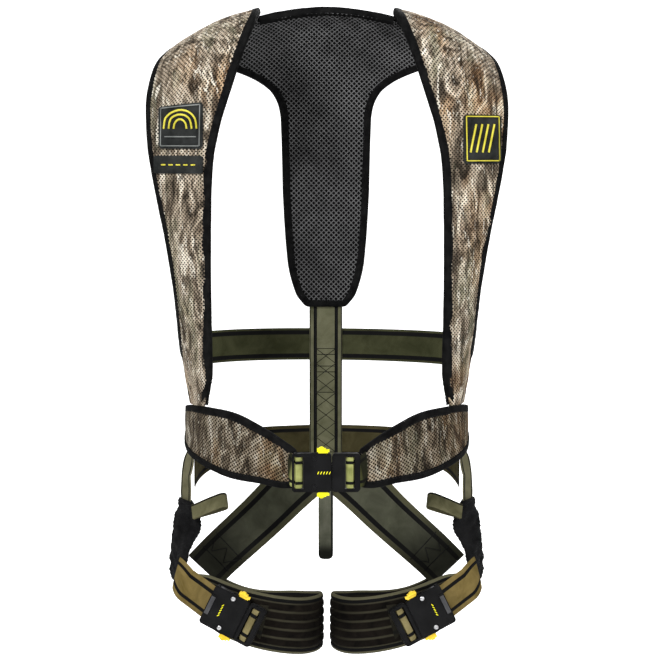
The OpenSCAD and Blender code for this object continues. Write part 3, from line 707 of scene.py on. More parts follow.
def binding(base, normal, low, high, closed=False, reach=8.0, thick=1.1, seed=0, more=0.0):
    """Folded tape round an edge; parts for joined(), with its stitch lines. more widens it at each point."""
    d = unit(np.roll(base, -1, 0) - np.roll(base, 1, 0)) if closed else unit(np.gradient(base, axis=0))
    out = unit(np.cross(normal, d))
    lo, hi = low - 0.35, high + 0.35
    mid, half = (lo + hi) / 2, (hi - lo) / 2 + thick
    t = radians(linspace(90, -90, 9))
    prof = [[-reach, hi], [-reach, hi + 0.75 * thick], [-reach + 0.8, hi + thick],
            [-reach * 0.45, hi + thick * 1.1]]
    prof += [[2.0 * math.cos(a) - 0.6, mid + half * math.sin(a)] for a in t]
    prof += [[-reach * 0.45, lo - thick * 1.1], [-reach + 0.8, lo - thick], [-reach, lo - 0.75 * thick],
             [-reach, lo]]
    prof += [[-1.2, lo + 0.1], [-1.2, hi - 0.1]]
    prof = np.array(prof)
    swell = 0.35 * ripple(base, 26, seed)[:, None] + 0.18 * ripple(base, 8, seed + 4)[:, None]
    more = np.broadcast_to(more, len(base))[:, None]
    pull = clip(-prof[:, 0] / reach, 0, 1) * (prof[:, 0] < -1.5)
    o = prof[:, 0][None, :] - more * pull[None, :]
    o = o + 0.5 * ripple(base, 60, seed + 2)[:, None] * (prof[:, 0] < -5)[None, :]
    nn = prof[:, 1][None, :] + swell * np.sign(prof[:, 1] - mid)[None, :] * 0.6
    pts = base[:, None] + out[:, None] * o[..., None] + normal[:, None] * nn[..., None]
    m = len(prof)
    s = arc(cat([base, base[:1]]) if closed else base)[:len(base)]
    run = cat([[0], np.cumsum(np.linalg.norm(np.diff(prof, axis=0), axis=1))])
    uv = vec(np.tile(run, (len(base), 1)), wide(s, m)) / 100
    f = quads(len(base), m, wrap_v=True, wrap_u=closed)
    f = list(f) + ([] if closed else caps(len(base), m))
    tape_part = as_parts(pts, f, uv, uv)
    line = base + out * (1.7 - reach - more)
    seam = [stitches(line + normal * (hi + thick), normal, closed=closed),
            stitches(line + normal * (lo - thick), -normal, closed=closed)]
    return tape_part, [p for line in seam for p in line]


def make_binding(name, base, normal, low, high, closed, *nodes, mirror_x=False, seed=0, more=0.0):
    tape_part, seam = binding(base, normal, low, high, closed, seed=seed, more=more)
    thread = joined(seam)
    if mirror_x:
        tape_part, thread = flipped(tape_part), flipped(thread)
    place(name, tape_part, "tape", "vest", "binding_tape", *nodes)
    place(name + "_seam", thread, "thread", "vest", "binding_tape")


q_side = cat([[q_rear(162), q_rear(175), q_rear(190)], linspace(q_rear(205), 0, 7), linspace(0.03, 0.15, 8),
                         [0.165, 0.178]])
one = np.stack([through(YOKE, q_side), q_side], 1)
foot = np.stack([linspace(-26, 26, 5), np.full(5, YOKE_FOOT)], 1)
outline = cat([(one * [-1, 1])[::-1], foot, one])
ex, eq = edge_path(outline)
make_binding("yoke_binding", body(ex, eq), body_n(ex, eq), LINING[0] - 0.9, BACK_COVER[1] + 0.2, False,
             "back_binding")
tx = linspace(86, -86, 13)
ex, eq = edge_path(np.stack([tx, np.full(13, YOKE_TOP)], 1))
make_binding("yoke_top_binding", body(ex, eq), body_n(ex, eq), LINING[0] - 0.9, BACK_COVER[1] + 0.2, False,
             seed=3)

# ---------------- dorsal strap with its stitching
dq = arc_rows(lambda v: 0 * v, q_rear(-66), 0.1, 3.0)
dbase, dn = body(0 * dq, dq), body_n(0 * dq, dq)
dpath = dbase + dn * sum(DORSAL) / 2
show(strap("dorsal_strap", dpath, [1, 0, 0], MAIN_W, nv=26), "dorsal", "vest", "back_webbing", "dorsal_strap")


def drawn(points, step=1.2):
    return resample(num(points), step)


def seam_on(path, across, normal, marks, r=0.42, lift=0.95):
    """Heavy thread lines on a strap. marks are polylines of (distance along, offset across) in mm."""
    s = arc(path)
    src = cat([path, np.broadcast_to(across, path.shape), np.broadcast_to(normal, path.shape)], 1)
    out = []
    for line in marks:
        m = drawn(line)
        f = along(m[:, 0], s, src)
        rise = lift + 0.12 * sin(m[:, :1] * 2.2 + m[:, 1:2] * 2.2)
        p = f[:, :3] + f[:, 3:6] * m[:, 1:2] + f[:, 6:] * rise
        out.append(tube(p, r, 5))
    return out


def at_z(z):
    return float(np.interp(z, dpath[:, 2], arc(dpath)))


marks = []
z_lo, z_hi, rows = -52.0, 90.0, 7
zs = linspace(z_hi, z_lo, rows + 1)
for a, b in zip(zs[:-1], zs[1:]):
    marks += [[(at_z(a), -13), (at_z(b), 13)], [(at_z(a), 13), (at_z(b), -13)]]
for z in (z_hi, 82, 66, 58, 30, z_lo):
    marks.append([(at_z(z), -14), (at_z(z), 14)])
for s_ in (-14, 14, -21, 21):
    marks.append([(at_z(146), s_), (at_z(-62), s_)])
thread = seam_on(dpath, [1, 0, 0], -dn, marks)
place("dorsal_stitching", joined(thread), "thread", "vest", "back_webbing")

# ---------------- tether loop
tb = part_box("tether_loop")
ty, tz0 = tb[0][1] * 1000, tb[0][2] * 1000
loop_r = 14 + 1.3
cy, cz = ty + 2.6 + 14, 425.0
tab = vec(np.zeros(12), np.full(12, ty + 1.3), linspace(tz0 + 2, cz - 16, 12))
full = radians(linspace(0, 360, 60, endpoint=False))
ring = vec(0 * full, cy - loop_r * cos(full), cz - loop_r * sin(full))
ring = cat([tab, ring[3:], ring[:2]])
show(strap("tether_eye", ring, [1, 0, 0], MAIN_W, thick=2.4, wave=0, nv=24), "sleeve", "vest", "black_cloth",
     "tether_loop")
tabn = np.array([0, 1, 0])
box_marks = [[(4, -17), (50, -17), (50, 17), (4, 17), (4, -17)], [(4, -17), (50, 17)], [(4, 17), (50, -17)]]
place("tether_stitching", joined(seam_on(tab, [1, 0, 0], tabn, box_marks, 0.5, 1.35)), "small", "vest",
      "black_cloth")

# ---------------- straps round the back
ta = radians(linspace(165, 375, 150))
za = 97.0
aa = WAIST_A + (CHEST_A - WAIST_A) * ease(za / SHOULDER_Z)
ab = WAIST_B + (CHEST_B - WAIST_B) * za / SHOULDER_Z
bn = unit(vec(cos(ta) / aa, -sin(ta) / ab, 0 * ta))
up = ease((-sin(ta) + 0.2) * 1.4)
bpath = vec(aa * cos(ta), -ab * sin(ta), za + 0 * ta) + bn * (-1.6 + 9.4 * up)[:, None]
bpath[:, 2] += 1.5 * sin(ta * 2 + 1.0)
show(strap("back_strap", bpath, vec(0.21 * cos(ta), 0 * ta, 1 + 0 * ta), 43, ribs=0.16, wave=0.5, seed=2),
     "back", "vest", "back_webbing", "back_strap")
td = linspace(176, 364, 140)
up = ease(-sin(radians(td)) * 1.5)
sz = -51 + 13 * up
spath = waist(td, sz, 2.2 + (sum(SEAT) / 2 - 2.2) * up - flare(sz))
show(strap("seat_strap", spath, [0, 0, 1], 46, wave=0.5, seed=4), "seat", "vest", "back_webbing", "seat_strap")

# ---------------- shoulder panels
SH0, SH1, FOOT_IN, FOOT_OUT = 0.185, q_front(40), 149.5, 168.5
INNER = [[0.16, 138], [0.185, 131.5], [0.22, 119], [0.28, 104], [0.34, 90], [0.5, 84], [0.68, 86.5],
         [0.86, 111.5],
         [1, 129.5], [1.12, 140.5], [1.32, 143.5], [1.55, 143.5], [q_front(80), 143], [q_front(60), 146.5],
         [SH1, FOOT_IN]]
OUTER = [[0.16, 168], [0.185, 178], [0.22, 183], [0.34, 187], [0.5, 193], [0.7, 210.5], [0.86, 219.5],
         [1.06, 219.5],
         [1.18, 211.5], [1.35, 196], [1.5, 185.5], [1.65, 180], [q_front(80), 176], [q_front(60), 173],
         [SH1, FOOT_OUT]]


def shoulder_grid(side, cols=92, step=1.12):
    q = arc_rows(lambda v: (through(INNER, v) + through(OUTER, v)) / 2, SH0, SH1, step)
    return on_side(*between_edges(through(INNER, q), through(OUTER, q), q, cols), side)


q1 = cat([linspace(SH0, 1.0, 17), linspace(1.04, q_front(56), 15)])
down = np.stack([through(INNER, q1), q1], 1)
upp = np.stack([through(OUTER, q1), q1], 1)[::-1]
toe = np.stack([FOOT_IN + (FOOT_OUT - FOOT_IN) * np.array([0.2, 0.5, 0.8]), np.full(3, SH1)], 1)
head = np.stack([131.5 + 46.5 * np.array([0.8, 0.5, 0.2]), np.full(3, SH0)], 1)
ex, eq = edge_path(cat([down, toe, upp, head])[::-1], closed=True)
foot_k = smooth(q_front(150), q_front(85), eq)
foot_more = 14 * foot_k * (ex > (FOOT_IN + FOOT_OUT) / 2) + 2.5 * foot_k * (ex <= (FOOT_IN + FOOT_OUT) / 2)
for side in ("left", "right"):
    base, n = shoulder_grid(side)
    o = panel("shoulder_cover_" + side + "_cloth", base, n, COVER[1], 2.6, 4.8, puff=0.8)
    show(o, "camo", "vest", "camo_mesh", "shoulder_cover_" + side, "shoulder_webbing_" + side)
    base, n = shoulder_grid(side, 60, 1.8)
    o = panel("shoulder_lining_" + side + "_cloth", base, n, LINING[0] + 0.3, 0, 5.6, puff=0.5, depth=-0.9,
              flip=True, rim=-1.0)
    show(o, "spacer", "vest", "spacer_mesh", "shoulder_lining_" + side)
    make_binding("shoulder_binding_" + side + "_tape", body(ex, eq), body_n(ex, eq), LINING[0], COVER[1], True,
                 "shoulder_binding_" + side, mirror_x=side == "right", seed=5 if side == "left" else 9,
                 more=foot_more)


# ---------------- chest labels: plain shapes, no lettering
def label_sheet(outline_fn, q0, q1, n=70):
    """A label between q0 and q1; outline_fn(v) gives its (low, high) x for v from 0 at the top to 1."""
    v = linspace(0, 1, n)
    return between_edges(*outline_fn(v), q0 + (q1 - q0) * v, n)


def label(name, fn, q0, q1, level, side, node=None):
    b, n = on_side(*label_sheet(fn, q0, q1), side)
    o = panel(name, b, n, level, 0.0, None, puff=0.25, rim=1.2)
    show(o, "label", "vest", "label", *([node] if node else []))


def line_on(points, level, side, r=0.8):
    p = drawn(points, 1.0)
    pts = body(p[:, 0], p[:, 1]) + level * body_n(p[:, 0], p[:, 1])
    return tube(mirror_pts(pts, side), r, 6)


def patch(lo, hi):
    return lambda v: (lo + 2.5 * (1 - smooth(0, 0.07, v)) + 2.5 * smooth(0.93, 1, v),
                      hi - 2.5 * (1 - smooth(0, 0.07, v)) - 2.5 * smooth(0.93, 1, v))


def bars(side, lines, r, level):
    return joined([line_on(b, level, side, r) for b in lines])


LV = 10.9
label("label_left_cloth", patch(163, 210), 0.985, 1.126, LV, "left", "chest_label_left")
label("label_right_cloth", patch(149, 203), 0.942, 1.085, LV, "right", "chest_labels_right")
label("label_band_cloth", patch(149, 209), 1.104, 1.153, LV, "right")
# plain motifs in thread: slanted bars on the left, nested arches on the right, short dashes on the band
border = [(166, 0.993), (207, 0.993), (207, 1.118), (166, 1.118), (166, 0.993)]
slants = [[(171 + 7.5 * k, 1.095), (178 + 7.5 * k, 1.018)] for k in range(4)]
place("label_left_thread", bars("left", slants, 1.3, LV + 0.9), "label_line", "vest", "label")
place("label_left_border", bars("left", [border], 0.8, LV + 0.9), "label_line", "vest", "label")
border = [(152, 0.95), (200, 0.95), (200, 1.077), (152, 1.077), (152, 0.95)]
arches = []
for k in (8, 14, 20):
    t = linspace(0, pi, 16)
    arches.append([(176 + k * math.cos(a), 1.03 - k * 1.15 * math.sin(a) / CAP_SPEED * 1.25) for a in t])
place("label_right_thread", bars("right", arches, 1.3, LV + 0.9), "label_line", "vest", "label")
place("label_right_border", bars("right", [border, [(157, 1.052), (195, 1.052)]], 0.8, LV + 0.9), "label_grey",
      "vest", "label")
dashes = [[(x0, 1.129), (x0 + 5, 1.129)] for x0 in (158, 167, 176, 185, 194)]
place("label_band_thread", bars("right", dashes, 0.9, LV + 0.9), "label_line", "vest", "label")

# ---------------- belt wings
WING_MID = [[-4, 15], [4, 10.5], [18, 7.5], [34, 4], [50, -2], [64, -11.5], [72, -20.5], [77, -25]]
WING_HALF = [[-4, 15], [4, 22.5], [18, 30.5], [34, 36], [50, 39], [64, 32.5], [72, 27.5], [77, 22]]


def wing_grid(side, cols, rows):
    t = linspace(-4, 77, rows)
    m, h = through(WING_MID, t), through(WING_HALF, t)
    j = linspace(-1, 1, cols)[None, :]
    z = m[:, None] + h[:, None] * j
    tt = wide(t, cols)
    return on_side(waist(tt, z, 0), waist_n(radians(tt)), side)


tt = linspace(-4, 77, 19)
top_e = np.stack([tt, through(WING_MID, tt) + through(WING_HALF, tt)], 1)
bot_e = np.stack([tt, through(WING_MID, tt) - through(WING_HALF, tt)], 1)[::-1]
fr_e = np.array([[77.3, -25 + 22 * (2 * u - 1)] for u in (0.8, 0.5, 0.2)])
bk_e = np.array([[-4, 15 + 15 * (2 * u - 1)] for u in (0.2, 0.5, 0.8)])
loop_e = cat([top_e, fr_e, bot_e, bk_e])
wp = waist(loop_e[:, 0], loop_e[:, 1], 0)
wl = soften(resample(cat([wp, loop_e], 1), 2.4, True), 3, True)
wl = wl[::-1]
wbase, wnorm = waist(wl[:, 3], wl[:, 4], 0), waist_n(radians(wl[:, 3]))
for side in ("left", "right"):
    base, n = wing_grid(side, 78, 220)
    base, n = base[:, ::-1], n[:, ::-1]
    o = panel("belt_cover_" + side + "_cloth", base, n, BELT_COVER[1], 2.0, 4.8, puff=0.8)
    # the belt wings get the darkened camo mesh: painted shade
    show(o, "camo_painted_shade", "vest", "camo_mesh", "belt_cover_" + side)
    base, n = wing_grid(side, 56, 150)
    o = panel("belt_lining_" + side + "_cloth", base[:, ::-1], n[:, ::-1], BELT_LINING[0] + 0.4, 0, 5.6,
              puff=0.5, depth=-0.9, flip=True, rim=-1.0)
    show(o, "spacer", "vest", "spacer_mesh", "belt_lining_" + side)
    make_binding("belt_binding_" + side + "_tape", wbase, wnorm, BELT_LINING[0], BELT_COVER[1], True,
                 "belt_binding_" + side, mirror_x=side == "right", seed=11 if side == "left" else 14)


def fold(bar_at, away, out, tail, run, r):
    t = radians(linspace(-80, 80, 13))[:, None]
    bar_at, away, out = (num(v) for v in (bar_at, away, out))
    low = [bar_at - out * r + away * k for k in linspace(run, 1.0, 5)]
    turn = list(bar_at + r * (out * sin(t) - away * cos(t)))
    high = [bar_at + out * r + away * k for k in linspace(1.0, tail, 5)]
    return np.array(low + turn + high)


BAR_X, BAR_D, BUCKLE_T = 31.0, 5.0, 8.0
LOOP_R = BAR_D / 2 + 0.6 + 0.85
WB_X, WB_Y, WB_Z = -5.0, -(WAIST_B + 21.5), -27.0
bt = linspace(6, 73, 40)
inner = waist(bt, through(WING_MID, bt), sum(BELT_WEB) / 2)
wfold = fold([BAR_X + WB_X, WB_Y - BUCKLE_T / 2, WB_Z], [1, 0, 0], [0, -1, 0], 4.6, 14, LOOP_R)
wfold_r = fold([BAR_X - 0.7 - WB_X, WB_Y - BUCKLE_T / 2, WB_Z], [1, 0, 0], [0, -1, 0], 4.4, 7, LOOP_R)
tilt = [waist(t, through(WING_MID, t) + 19, 0.0) - waist(t, through(WING_MID, t) - 19, 0.0) for t in bt]
bacross = cat([unit(np.array(tilt).reshape(-1, 3)), np.tile([0, 0, 1.0], (len(wfold), 1))])
bpth, bpth_r = cat([inner, wfold]), cat([inner, wfold_r])
show(strap("belt_webbing_left_strap", bpth, bacross, BELT_W, wave=0.0, step=0.9), "belt",
     ("vest", "waist_tongue", (84, -128, -25), (42, -146, -27)), "belt_webbing", "belt_webbing_left",
     "waist_tongue_webbing")
show(strap("belt_webbing_right_strap", mirror_pts(bpth_r, "right"), mirror_pts(bacross, "right"), BELT_W,
           wave=0.0, step=0.9), "belt",
     "vest", "belt_webbing", "belt_webbing_right")

# ---------------- leg loops
LEG_X, LEG_A, LEG_B = 103.0, 94.5, 80.0
LEG_Z = [[-45, -190], [0, -160], [30, -173], [45, -191], [90, -222], [135, -240], [180, -246], [225, -254],
         [270, -250], [315, -205]]
SLOPE, YAW = math.radians(26), math.radians(10)
OUTW = np.array([math.sin(YAW), -math.cos(YAW), 0])
ALONG = np.array([-math.cos(YAW) * math.cos(SLOPE), -math.sin(YAW) * math.cos(SLOPE), -math.sin(SLOPE)])
ACROSS = np.cross(OUTW, ALONG)
AT, TONGUE_X = np.array([114.5, -102.0, -219.0]), 19.5


def leg_n(t):
    t = radians(t)
    return unit(vec(cos(t) / LEG_A, -sin(t) / LEG_B, 0 * t))


def leg(t, level, dz=0):
    t, level, dz = np.broadcast_arrays(num(t), num(level), num(dz))
    r = radians(t)
    base = vec(LEG_X + LEG_A * cos(r), -12 - LEG_B * sin(r), through(LEG_Z, t) + dz)
    return base + level[..., None] * leg_n(t)


PAD_HALF = [[50, 24], [62, 33], [80, 36], [180, 36], [230, 31], [300, 22]]


def leg_pad():
    """A padded tube of cloth with sewn channels along it."""
    nt, nv = 330, 84
    t = linspace(50, 300, nt)
    h = through(PAD_HALF, t)
    end = np.minimum(smooth(50, 54, t), smooth(300, 296, t)) ** 0.5
    j = linspace(-1, 1, nv)
    seams = np.array([-0.78, -0.46, -0.15, 0.16, 0.47, 0.78])
    gap = np.min(abs(j[:, None] - seams[None, :]), axis=1)
    ribs = 1.5 * (1 - np.exp(-(gap / 0.05) ** 2)) - 0.4
    round_ = sqrt(clip(1 - abs(j) ** 5, 0, 1))
    top = (2.4 * round_ + ribs * round_)[None, :] * (0.5 + 0.5 * end[:, None])
    low = (-0.6 - 0.9 * round_)[None, :] * (0.3 + 0.7 * end[:, None])
    tt = wide(t, nv)
    dz = h[:, None] * j[None, :]
    outer = leg(tt, 1.4 + top, dz)
    innr = leg(tt, 1.2 + low, dz)
    outer = outer + leg_n(tt) * (0.45 * ripple(outer, 24, 6) * round_[None, :])[..., None]
    loop = cat([outer, innr[:, ::-1]], 1)
    m = loop.shape[1]
    s = cat([j, j[::-1]])[None, :] * h[:, None]
    run = np.repeat(arc(outer[:, nv // 2])[:, None], m, 1)
    uv = vec(s, run) / 100
    nm = vec(np.tile((cat([j, j[::-1]])[None, :] + 1) / 2, (nt, 1)),
             np.repeat(linspace(0, 1, nt)[:, None], m, 1))
    f = list(quads(nt, m, wrap_v=True)) + [c[::-1] for c in caps(nt, m)]
    return as_parts(loop, f, uv, nm)


def pad_material():
    n = Nodes("ribbed_padding", 0.8, 0.25)
    u, v = n.uv("Norm")
    s, t = n.uv()
    far = n.math("ABSOLUTE", n.sub(u, 0.5))
    tone = n.noise(n.scaled(1, 1, 1), 40, 5, 0.6, 0.8)
    base = n.ramp(tone, [(0.3, (0.0025, 0.0022, 0.002)), (0.7, (0.010, 0.008, 0.006))])
    # painted highlights: lighter olive on the crests of the ribs, strongest near the buckle and fading towards
    # the inner end
    rib = n.math("SINE", n.mul(n.sub(u, 0.07), 2 * math.pi * 6.4))
    near = n.ramp(v, [(0.30, (1,)), (0.46, (0.15,))])
    high = n.mul(n.ramp(rib, [(0.45, (0,)), (0.95, (0.8,))]), near)
    base = n.mix(high, base, (0.045, 0.042, 0.028))
    base = n.mix(n.math("GREATER_THAN", far, 0.455), base, (0.085, 0.08, 0.048))
    base = n.mix(n.between(far, 0.395, 0.455), base, (0.006, 0.006, 0.006))
    n.color(base)
    n.bump(n.fuzz(n.yarn(t, 1.4), 1500, 1.0, 3), 0.5, 0.0005)
    return n.m


M["pad"] = pad_material()
bar_at = AT - ALONG * (BAR_X - 0.7) + OUTW * BUCKLE_T / 2
ton_at = AT + ALONG * TONGUE_X + OUTW * BUCKLE_T / 2
round_leg = leg(linspace(29, 41, 12), 6.6)
turn = radians(linspace(-80, 0, 7))[:, None]
under = bar_at - OUTW * LOOP_R
leg_path = cat([round_leg, [under - ALONG * 8, under - ALONG * 4, under - ALONG],
                           bar_at + LOOP_R * (OUTW * sin(turn) + ALONG * cos(turn))])
k = clip(np.arange(len(leg_path)) / 12, 0, 1)[:, None]
leg_across = np.array([0, 0, -1.0]) * (1 - k) + ACROSS * k
pad_run = leg(linspace(104, 97, 6), 5.2)
ton_path = cat([pad_run, fold(ton_at, ALONG, OUTW, 4.6, 12, LOOP_R)])
k2 = clip(np.arange(len(ton_path)) / 6, 0, 1)[:, None]
ton_across = np.array([0, 0, -1.0]) * (1 - k2) + ACROSS * k2

SIDE_LOW = np.array([[180.8, -8, -56, 0], [181, -9, -66, 14], [181.2, -11.5, -78, 24], [181, -14, -90, 24],
                     [179.5, -17, -108, 38], [180, -17, -123, 42], [185.5, -16, -139, 30],
                     [189.5, -15, -154, 22],
                     [192.5, -13, -176, 18]])
SLEEVE = [[-197, 193.5, -10, 15, 4, 14], [-189, 194, -11.5, 24, 5.2, 16], [-178, 192.5, -13, 28, 5.8, 18],
          [-154, 189.5, -15, 28, 6, 22], [-139, 185.5, -16, 27.5, 5.8, 30], [-123, 180, -17, 27, 5.6, 42],
          [-108, 179.5, -17, 25, 5.3, 38], [-97, 179.5, -16, 21, 4.9, 30], [-88, 181, -14, 17.5, 4.4, 24]]
HIP = np.array([[5, 139, -63], [48, 133, -101], [88, 112, -137], [140, 66, -177], [168, 27, -199]], float)


def sleeve_parts():
    k, rows, cols = np.array(SLEEVE), 110, 96
    z = linspace(-197, -88, rows)
    cx, cy, b, a, turn = [through(k[:, [0, i]], z)[:, None] for i in (1, 2, 3, 4, 5)]
    t = linspace(0, 2 * pi, cols, endpoint=False)
    ct, st = cos(t)[None, :], sin(t)[None, :]
    end = smooth(-197, -193, z)[:, None] * 0.5 + 0.5
    x = a * end * np.sign(ct) * abs(ct) ** 0.7
    y = b * np.sign(st) * abs(st) ** 0.7
    co, si = cos(radians(turn)), sin(radians(turn))
    p = vec(cx + x * co + y * si, cy - x * si + y * co, wide(z, cols))
    n = unit(vec(ct / 6 * co + st / 25 * si, st / 25 * co - ct / 6 * si, 0 * x))
    crease = 0.9 * ripple(p * [1, 1, 2.2], 22, 8) + 0.4 * ripple(p * [1, 1, 3], 9, 3)
    # a hem round the top
    hem = 0.7 * smooth(-93.5, -92.5, z)[:, None] - 0.5 * np.exp(-((z[:, None] + 93) / 0.8) ** 2)
    p = p + n * (crease + hem)[..., None]
    run = np.cumsum(cat([[0], np.linalg.norm(np.diff(p[50], axis=0), axis=-1)]))
    uv = vec(np.tile(run, (rows, 1)), wide(z, cols)) / 100
    f = list(quads(rows, cols, wrap_v=True)[:, ::-1]) + caps(rows, cols)
    return as_parts(p, f, uv, uv)


def gear_parts():
    at, d = np.array([166.0, -43, -97]), unit(np.array([-0.86, -0.35, 0.37]))
    side = unit(np.cross(d, [0, 0.5, 0.87]))
    s = linspace(-6, 40, 12)[:, None]
    open_ = 1.2 + 4.2 * sin(pi / 2 * clip(s, 0, 40) / 40)
    t = radians(linspace(-80, 80, 9))[:, None]
    tip = at + d * (40 + 5.4 * cos(t)) + side * 5.4 * sin(t)
    path = cat([at + d * s - side * open_, tip, (at + d * s + side * open_)[::-1]])
    return path, np.cross(side, d)


u = linspace(0, 3.7, 60)
hip_path = np.stack([through(np.stack([np.arange(5), HIP[:, c]], 1), u) for c in range(3)], -1)
hip_across = vec(0.55 + 0.2 * u / 4, 0.25 * u / 4, 0.75 + 0 * u)
z = linspace(12, -47, 12)
side_path = cat([waist(3.5, z, 2.8), SIDE_LOW[:, :3]])
turned = radians(cat([27 * smooth(-14, -40, z), np.maximum(SIDE_LOW[:, 3], [28, 30, 32, 30, 0, 0, 0, 0, 0])]))
turned = vec(sin(turned), cos(turned), 0 * turned)
side_width = cat([np.full(12, 33.0), np.full(9, 28.0)])
# W stitching near the lower end of each hip strap, on the face towards the front
_, hip_v, hip_n = frames(hip_path, hip_across)
end = arc(hip_path)[-1]
wmarks = [[(end - 50, -22), (end - 30, -11), (end - 50, 0), (end - 30, 11), (end - 50, 22)],
          [(end - 54, -25), (end - 54, 25)], [(end - 26, -24), (end - 26, 24)]]
hip_n = -hip_n if np.dot(hip_n[40], [0, 1, 0]) > 0 else hip_n
gear_path, gear_across = gear_parts()
for side in ("left", "right"):
    legb = "leg_loop_" + side
    fixed = lambda start, end: ("vest", legb, mirror_pts(start, side), mirror_pts(end, side))
    place("leg_pad_" + side + "_cloth", leg_pad(), "pad", legb, "ribbed_padding", "leg_pad_" + side, side=side)
    place("leg_strap_" + side + "_webbing", band(leg_path, leg_across, MAIN_W, wave=0.3), "leg", legb,
          "leg_webbing",
          "leg_strap_" + side, side=side)
    place("leg_tongue_strap_" + side, band(ton_path, ton_across, MAIN_W, wave=0.0), "leg_end",
          (legb, "leg_tongue_" + side, mirror_pts(pad_run[3], side), mirror_pts(ton_at + ALONG * 14, side)),
          "leg_webbing", "leg_tongue_webbing_" + side, side=side)
    place("side_strap_" + side, band(side_path, turned, side_width, wave=0.2), "side",
          fixed([179, -8, -46], [181, -8, -64]), "back_webbing", "side_strap_upper_" + side,
          "side_strap_lower_" + side, side=side)
    place("hip_strap_" + side, band(hip_path, hip_across, 68 - 10 * ease(u / 4), wave=0.6, ribs=0.06, nv=30),
          "hip",
          fixed(hip_path[22], hip_path[44]), "hip_webbing", "hip_strap_upper_" + side,
          "hip_strap_lower_" + side,
          side=side)
    place("sleeve_" + side + "_cloth", sleeve_parts(), "sleeve", legb, "black_cloth", "sleeve_" + side,
          side=side)
    place("gear_loop_" + side + "_webbing", band(gear_path, gear_across, SMALL_W, wave=0.2, nv=14), "small",
          "gear_loop_" + side, "leg_webbing", "gear_loop_" + side, side=side)
    place("hip_stitching_" + side, joined(seam_on(hip_path, hip_v, hip_n, wmarks, 0.5, 1.1)), "thread", legb,
          "hip_webbing", side=side)

# ---------------- tail strap
zt = linspace(-67, -200, 30)
tail = vec(0 * zt, 132.5 + 0 * zt, zt)
show(strap("tail_strap_webbing", tail, [1, 0, 0], SMALL_W, thick=2.0, nv=14, wave=0.8, seed=6, round_end=7),
     "tail", "tail_strap", "back_webbing", "tail_strap")

# ---------------- buckles: the CAD's own solids with broken edges
def finish_cad(name, key, width=0.35):
    o = NODES[name]
    paint(o, key)
    w = o.modifiers.new("weld", "WELD")
    w.merge_threshold = 0.00002
    b = o.modifiers.new("bevel", "BEVEL")
    b.width, b.segments, b.limit_method, b.angle_limit = width * 0.001, 2, "ANGLE", math.radians(35)
    b.use_clamp_overlap = True


for name in ("waist_", "leg_"):
    for side in ([""] if name == "waist_" else ["_left", "_right"]):
        finish_cad(name + "housing" + side, "plastic")
        finish_cad(name + "tongue" + side, "plastic")
        finish_cad(name + "bar" + side, "bar", 0.2)
        for tab in ("tab_upper", "tab_lower"):
            finish_cad(name + tab + side, "yellow" if side else "lime", 0.3)


def lathe(profile, at, axis, sides=28):
    """profile is [(radius, height)] in mm."""
    axis = unit(num(axis))
    ref = np.array([0.0, 0, 1]) if abs(axis[2]) < 0.9 else np.array([1.0, 0, 0])
    u = unit(np.cross(axis, ref))
    v = np.cross(axis, u)
    t = linspace(0, 2 * pi, sides, endpoint=False)
    spoke = u * cos(t)[:, None] + v * sin(t)[:, None]
    pts = np.array([np.asarray(at) + axis * h + r * spoke for r, h in profile])
    f = list(quads(len(profile), sides, wrap_v=True)) + [c[::-1] for c in caps(len(profile), sides)]
    flat = np.zeros((pts.shape[0] * sides, 2))
    return pts.reshape(-1, 3), f, flat, flat


HEAD = [(2.9, 8.15), (2.9, 8.7), (2.6, 9.15), (1.9, 9.5), (0.9, 9.68), (0.2, 9.72)]


def local(at, u, v, n):
    return lambda x, y, z: num(at) + np.asarray(u) * x + np.asarray(v) * y + np.asarray(n) * z


waist_at = local([WB_X, WB_Y, WB_Z], [1, 0, 0], [0, 0, 1], [0, -1, 0])
leg_at = local(AT, ALONG, ACROSS, OUTW)


def rivets(at, axis, width):
    """The two heads near the edges of a housing for webbing of this width."""
    return joined([lathe(HEAD, at(-12, s * ((width + 8 + 1.6) / 2 - 6), 0), axis) for s in (-1, 1)])


def bead(points, r, sides=10):
    """A raised line with round ends, moulded on a plate."""
    p = resample(num(points), 0.5)
    s = arc(p)
    taper = sqrt(clip(1 - (1 - clip(np.minimum(s, s[-1] - s) / r, 0, 1)) ** 2, 0.05, 1))
    return tube(p, r * taper, sides)


def beads(at, pairs, r):
    return joined([bead([at(*a), at(*b)], r) for a, b in pairs])


ROW = (-7, -3.5, 0, 3.5, 7)
grip = beads(leg_at, [((-35 + 1.7 * k, -12.5, 9.1), (-35 + 1.7 * k, 12.5, 9.1)) for k in (-1, 0, 1)], 0.95)
ticks = beads(leg_at, [((-20 + 0.9, y - 1.6, 8.1), (-20 - 0.9, y + 1.6, 8.1)) for y in ROW], 0.55)
for side in ("left", "right"):
    for name, parts, key in (("rivets_", rivets(leg_at, OUTW, MAIN_W), "steel"), ("grip_", grip, "grip"),
                             ("ticks_", ticks, "lime")):
        place("leg_" + name + side, parts, key, "leg_loop_" + side, "buckle_plastic", side=side)
place("waist_rivets", rivets(waist_at, [0, -1, 0], BELT_W), "plastic", "vest", "buckle_plastic")
ticks = beads(waist_at, [((x - 0.9, -1.8, 8.1), (x + 0.9, 1.8, 8.1)) for x in ROW], 0.55)
place("waist_ticks", ticks, "lime", "vest", "buckle_plastic")

# ---------------- floor, light, camera
ground = BOX_CAD[0][2] - 0.35
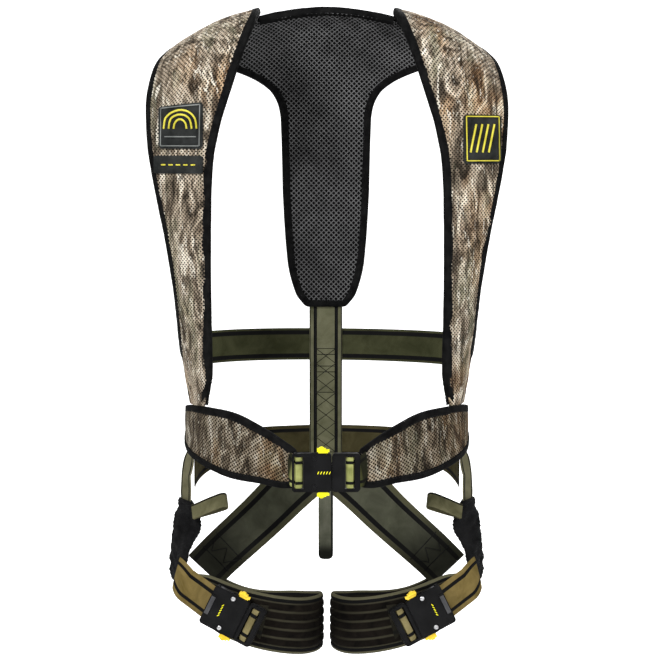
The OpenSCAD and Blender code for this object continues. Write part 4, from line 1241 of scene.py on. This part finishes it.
# one seamless sweep: a floor that curves up into the background
turn = radians(linspace(0, 90, 24))
sweep = [(-6000, 0)] + [(2600 + 1500 * math.sin(a), 1500 * (1 - math.cos(a))) for a in turn] + [(4100, 9000)]
rows = [[(x, y, ground * 1000 + z) for x in (-9000, 9000)] for y, z in sweep]
floor = new_mesh("floor", np.array(rows).reshape(-1, 3), quads(len(rows), 2)[:, ::-1])
pale = bpy.data.materials.new("pale")
pale.use_nodes = True
tree = pale.node_tree
pb = tree.nodes["Principled BSDF"]
pb.inputs["Base Color"].default_value = (0.9, 0.9, 0.9, 1)
pb.inputs["Roughness"].default_value = 0.9
pb.inputs["Emission Color"].default_value = (1, 1, 1, 1)
seen = tree.nodes.new("ShaderNodeLightPath")
glow = tree.nodes.new("ShaderNodeMath")
glow.operation = "MULTIPLY"
glow.inputs[1].default_value = 0.8
tree.links.new(seen.outputs["Is Camera Ray"], glow.inputs[0])
tree.links.new(glow.outputs[0], pb.inputs["Emission Strength"])
floor.data.materials.append(pale)

world = bpy.data.worlds.new("studio")
bpy.context.scene.world = world
world.use_nodes = True
world.node_tree.nodes["Background"].inputs[0].default_value = (1, 1, 1, 1)
world.node_tree.nodes["Background"].inputs[1].default_value = 0.40


def area(name, at, size, power, aim=(0, 0, 0.13)):
    d = bpy.data.lights.new(name, "AREA")
    d.shape, d.size, d.size_y, d.energy = "RECTANGLE", size, size, power
    o = bpy.data.objects.new(name, d)
    o.location = at
    o.rotation_euler = (Vector(aim) - Vector(at)).to_track_quat("-Z", "Y").to_euler()
    bpy.context.scene.collection.objects.link(o)


area("key", (-1.3, -2.5, 2.0), 0.8, 100)
area("fill", (2.0, -2.1, 0.9), 1.4, 40)
area("top", (0, 0.3, 2.6), 1.4, 10)
area("back", (0.6, 2.6, 1.6), 1.6, 45)

cam_data = bpy.data.cameras.new("camera")
cam = bpy.data.objects.new("camera", cam_data)
bpy.context.scene.collection.objects.link(cam)
target = Vector((0.0, 0.0, 0.13))
elev = math.radians(6.4)
turned = math.radians(-0.6)
cam.location = target + Vector((math.sin(turned) * math.cos(elev), -math.cos(turned) * math.cos(elev),
                                math.sin(elev))) * 2.6
cam.rotation_euler = (target - cam.location).to_track_quat("-Z", "Y").to_euler()
cam_data.sensor_width = 36.0
cam_data.lens = 110.9
cam_data.shift_x = 2.7 / 659
cam_data.clip_end = 50
bpy.context.scene.camera = cam
bpy.context.scene.view_settings.view_transform = "Standard"
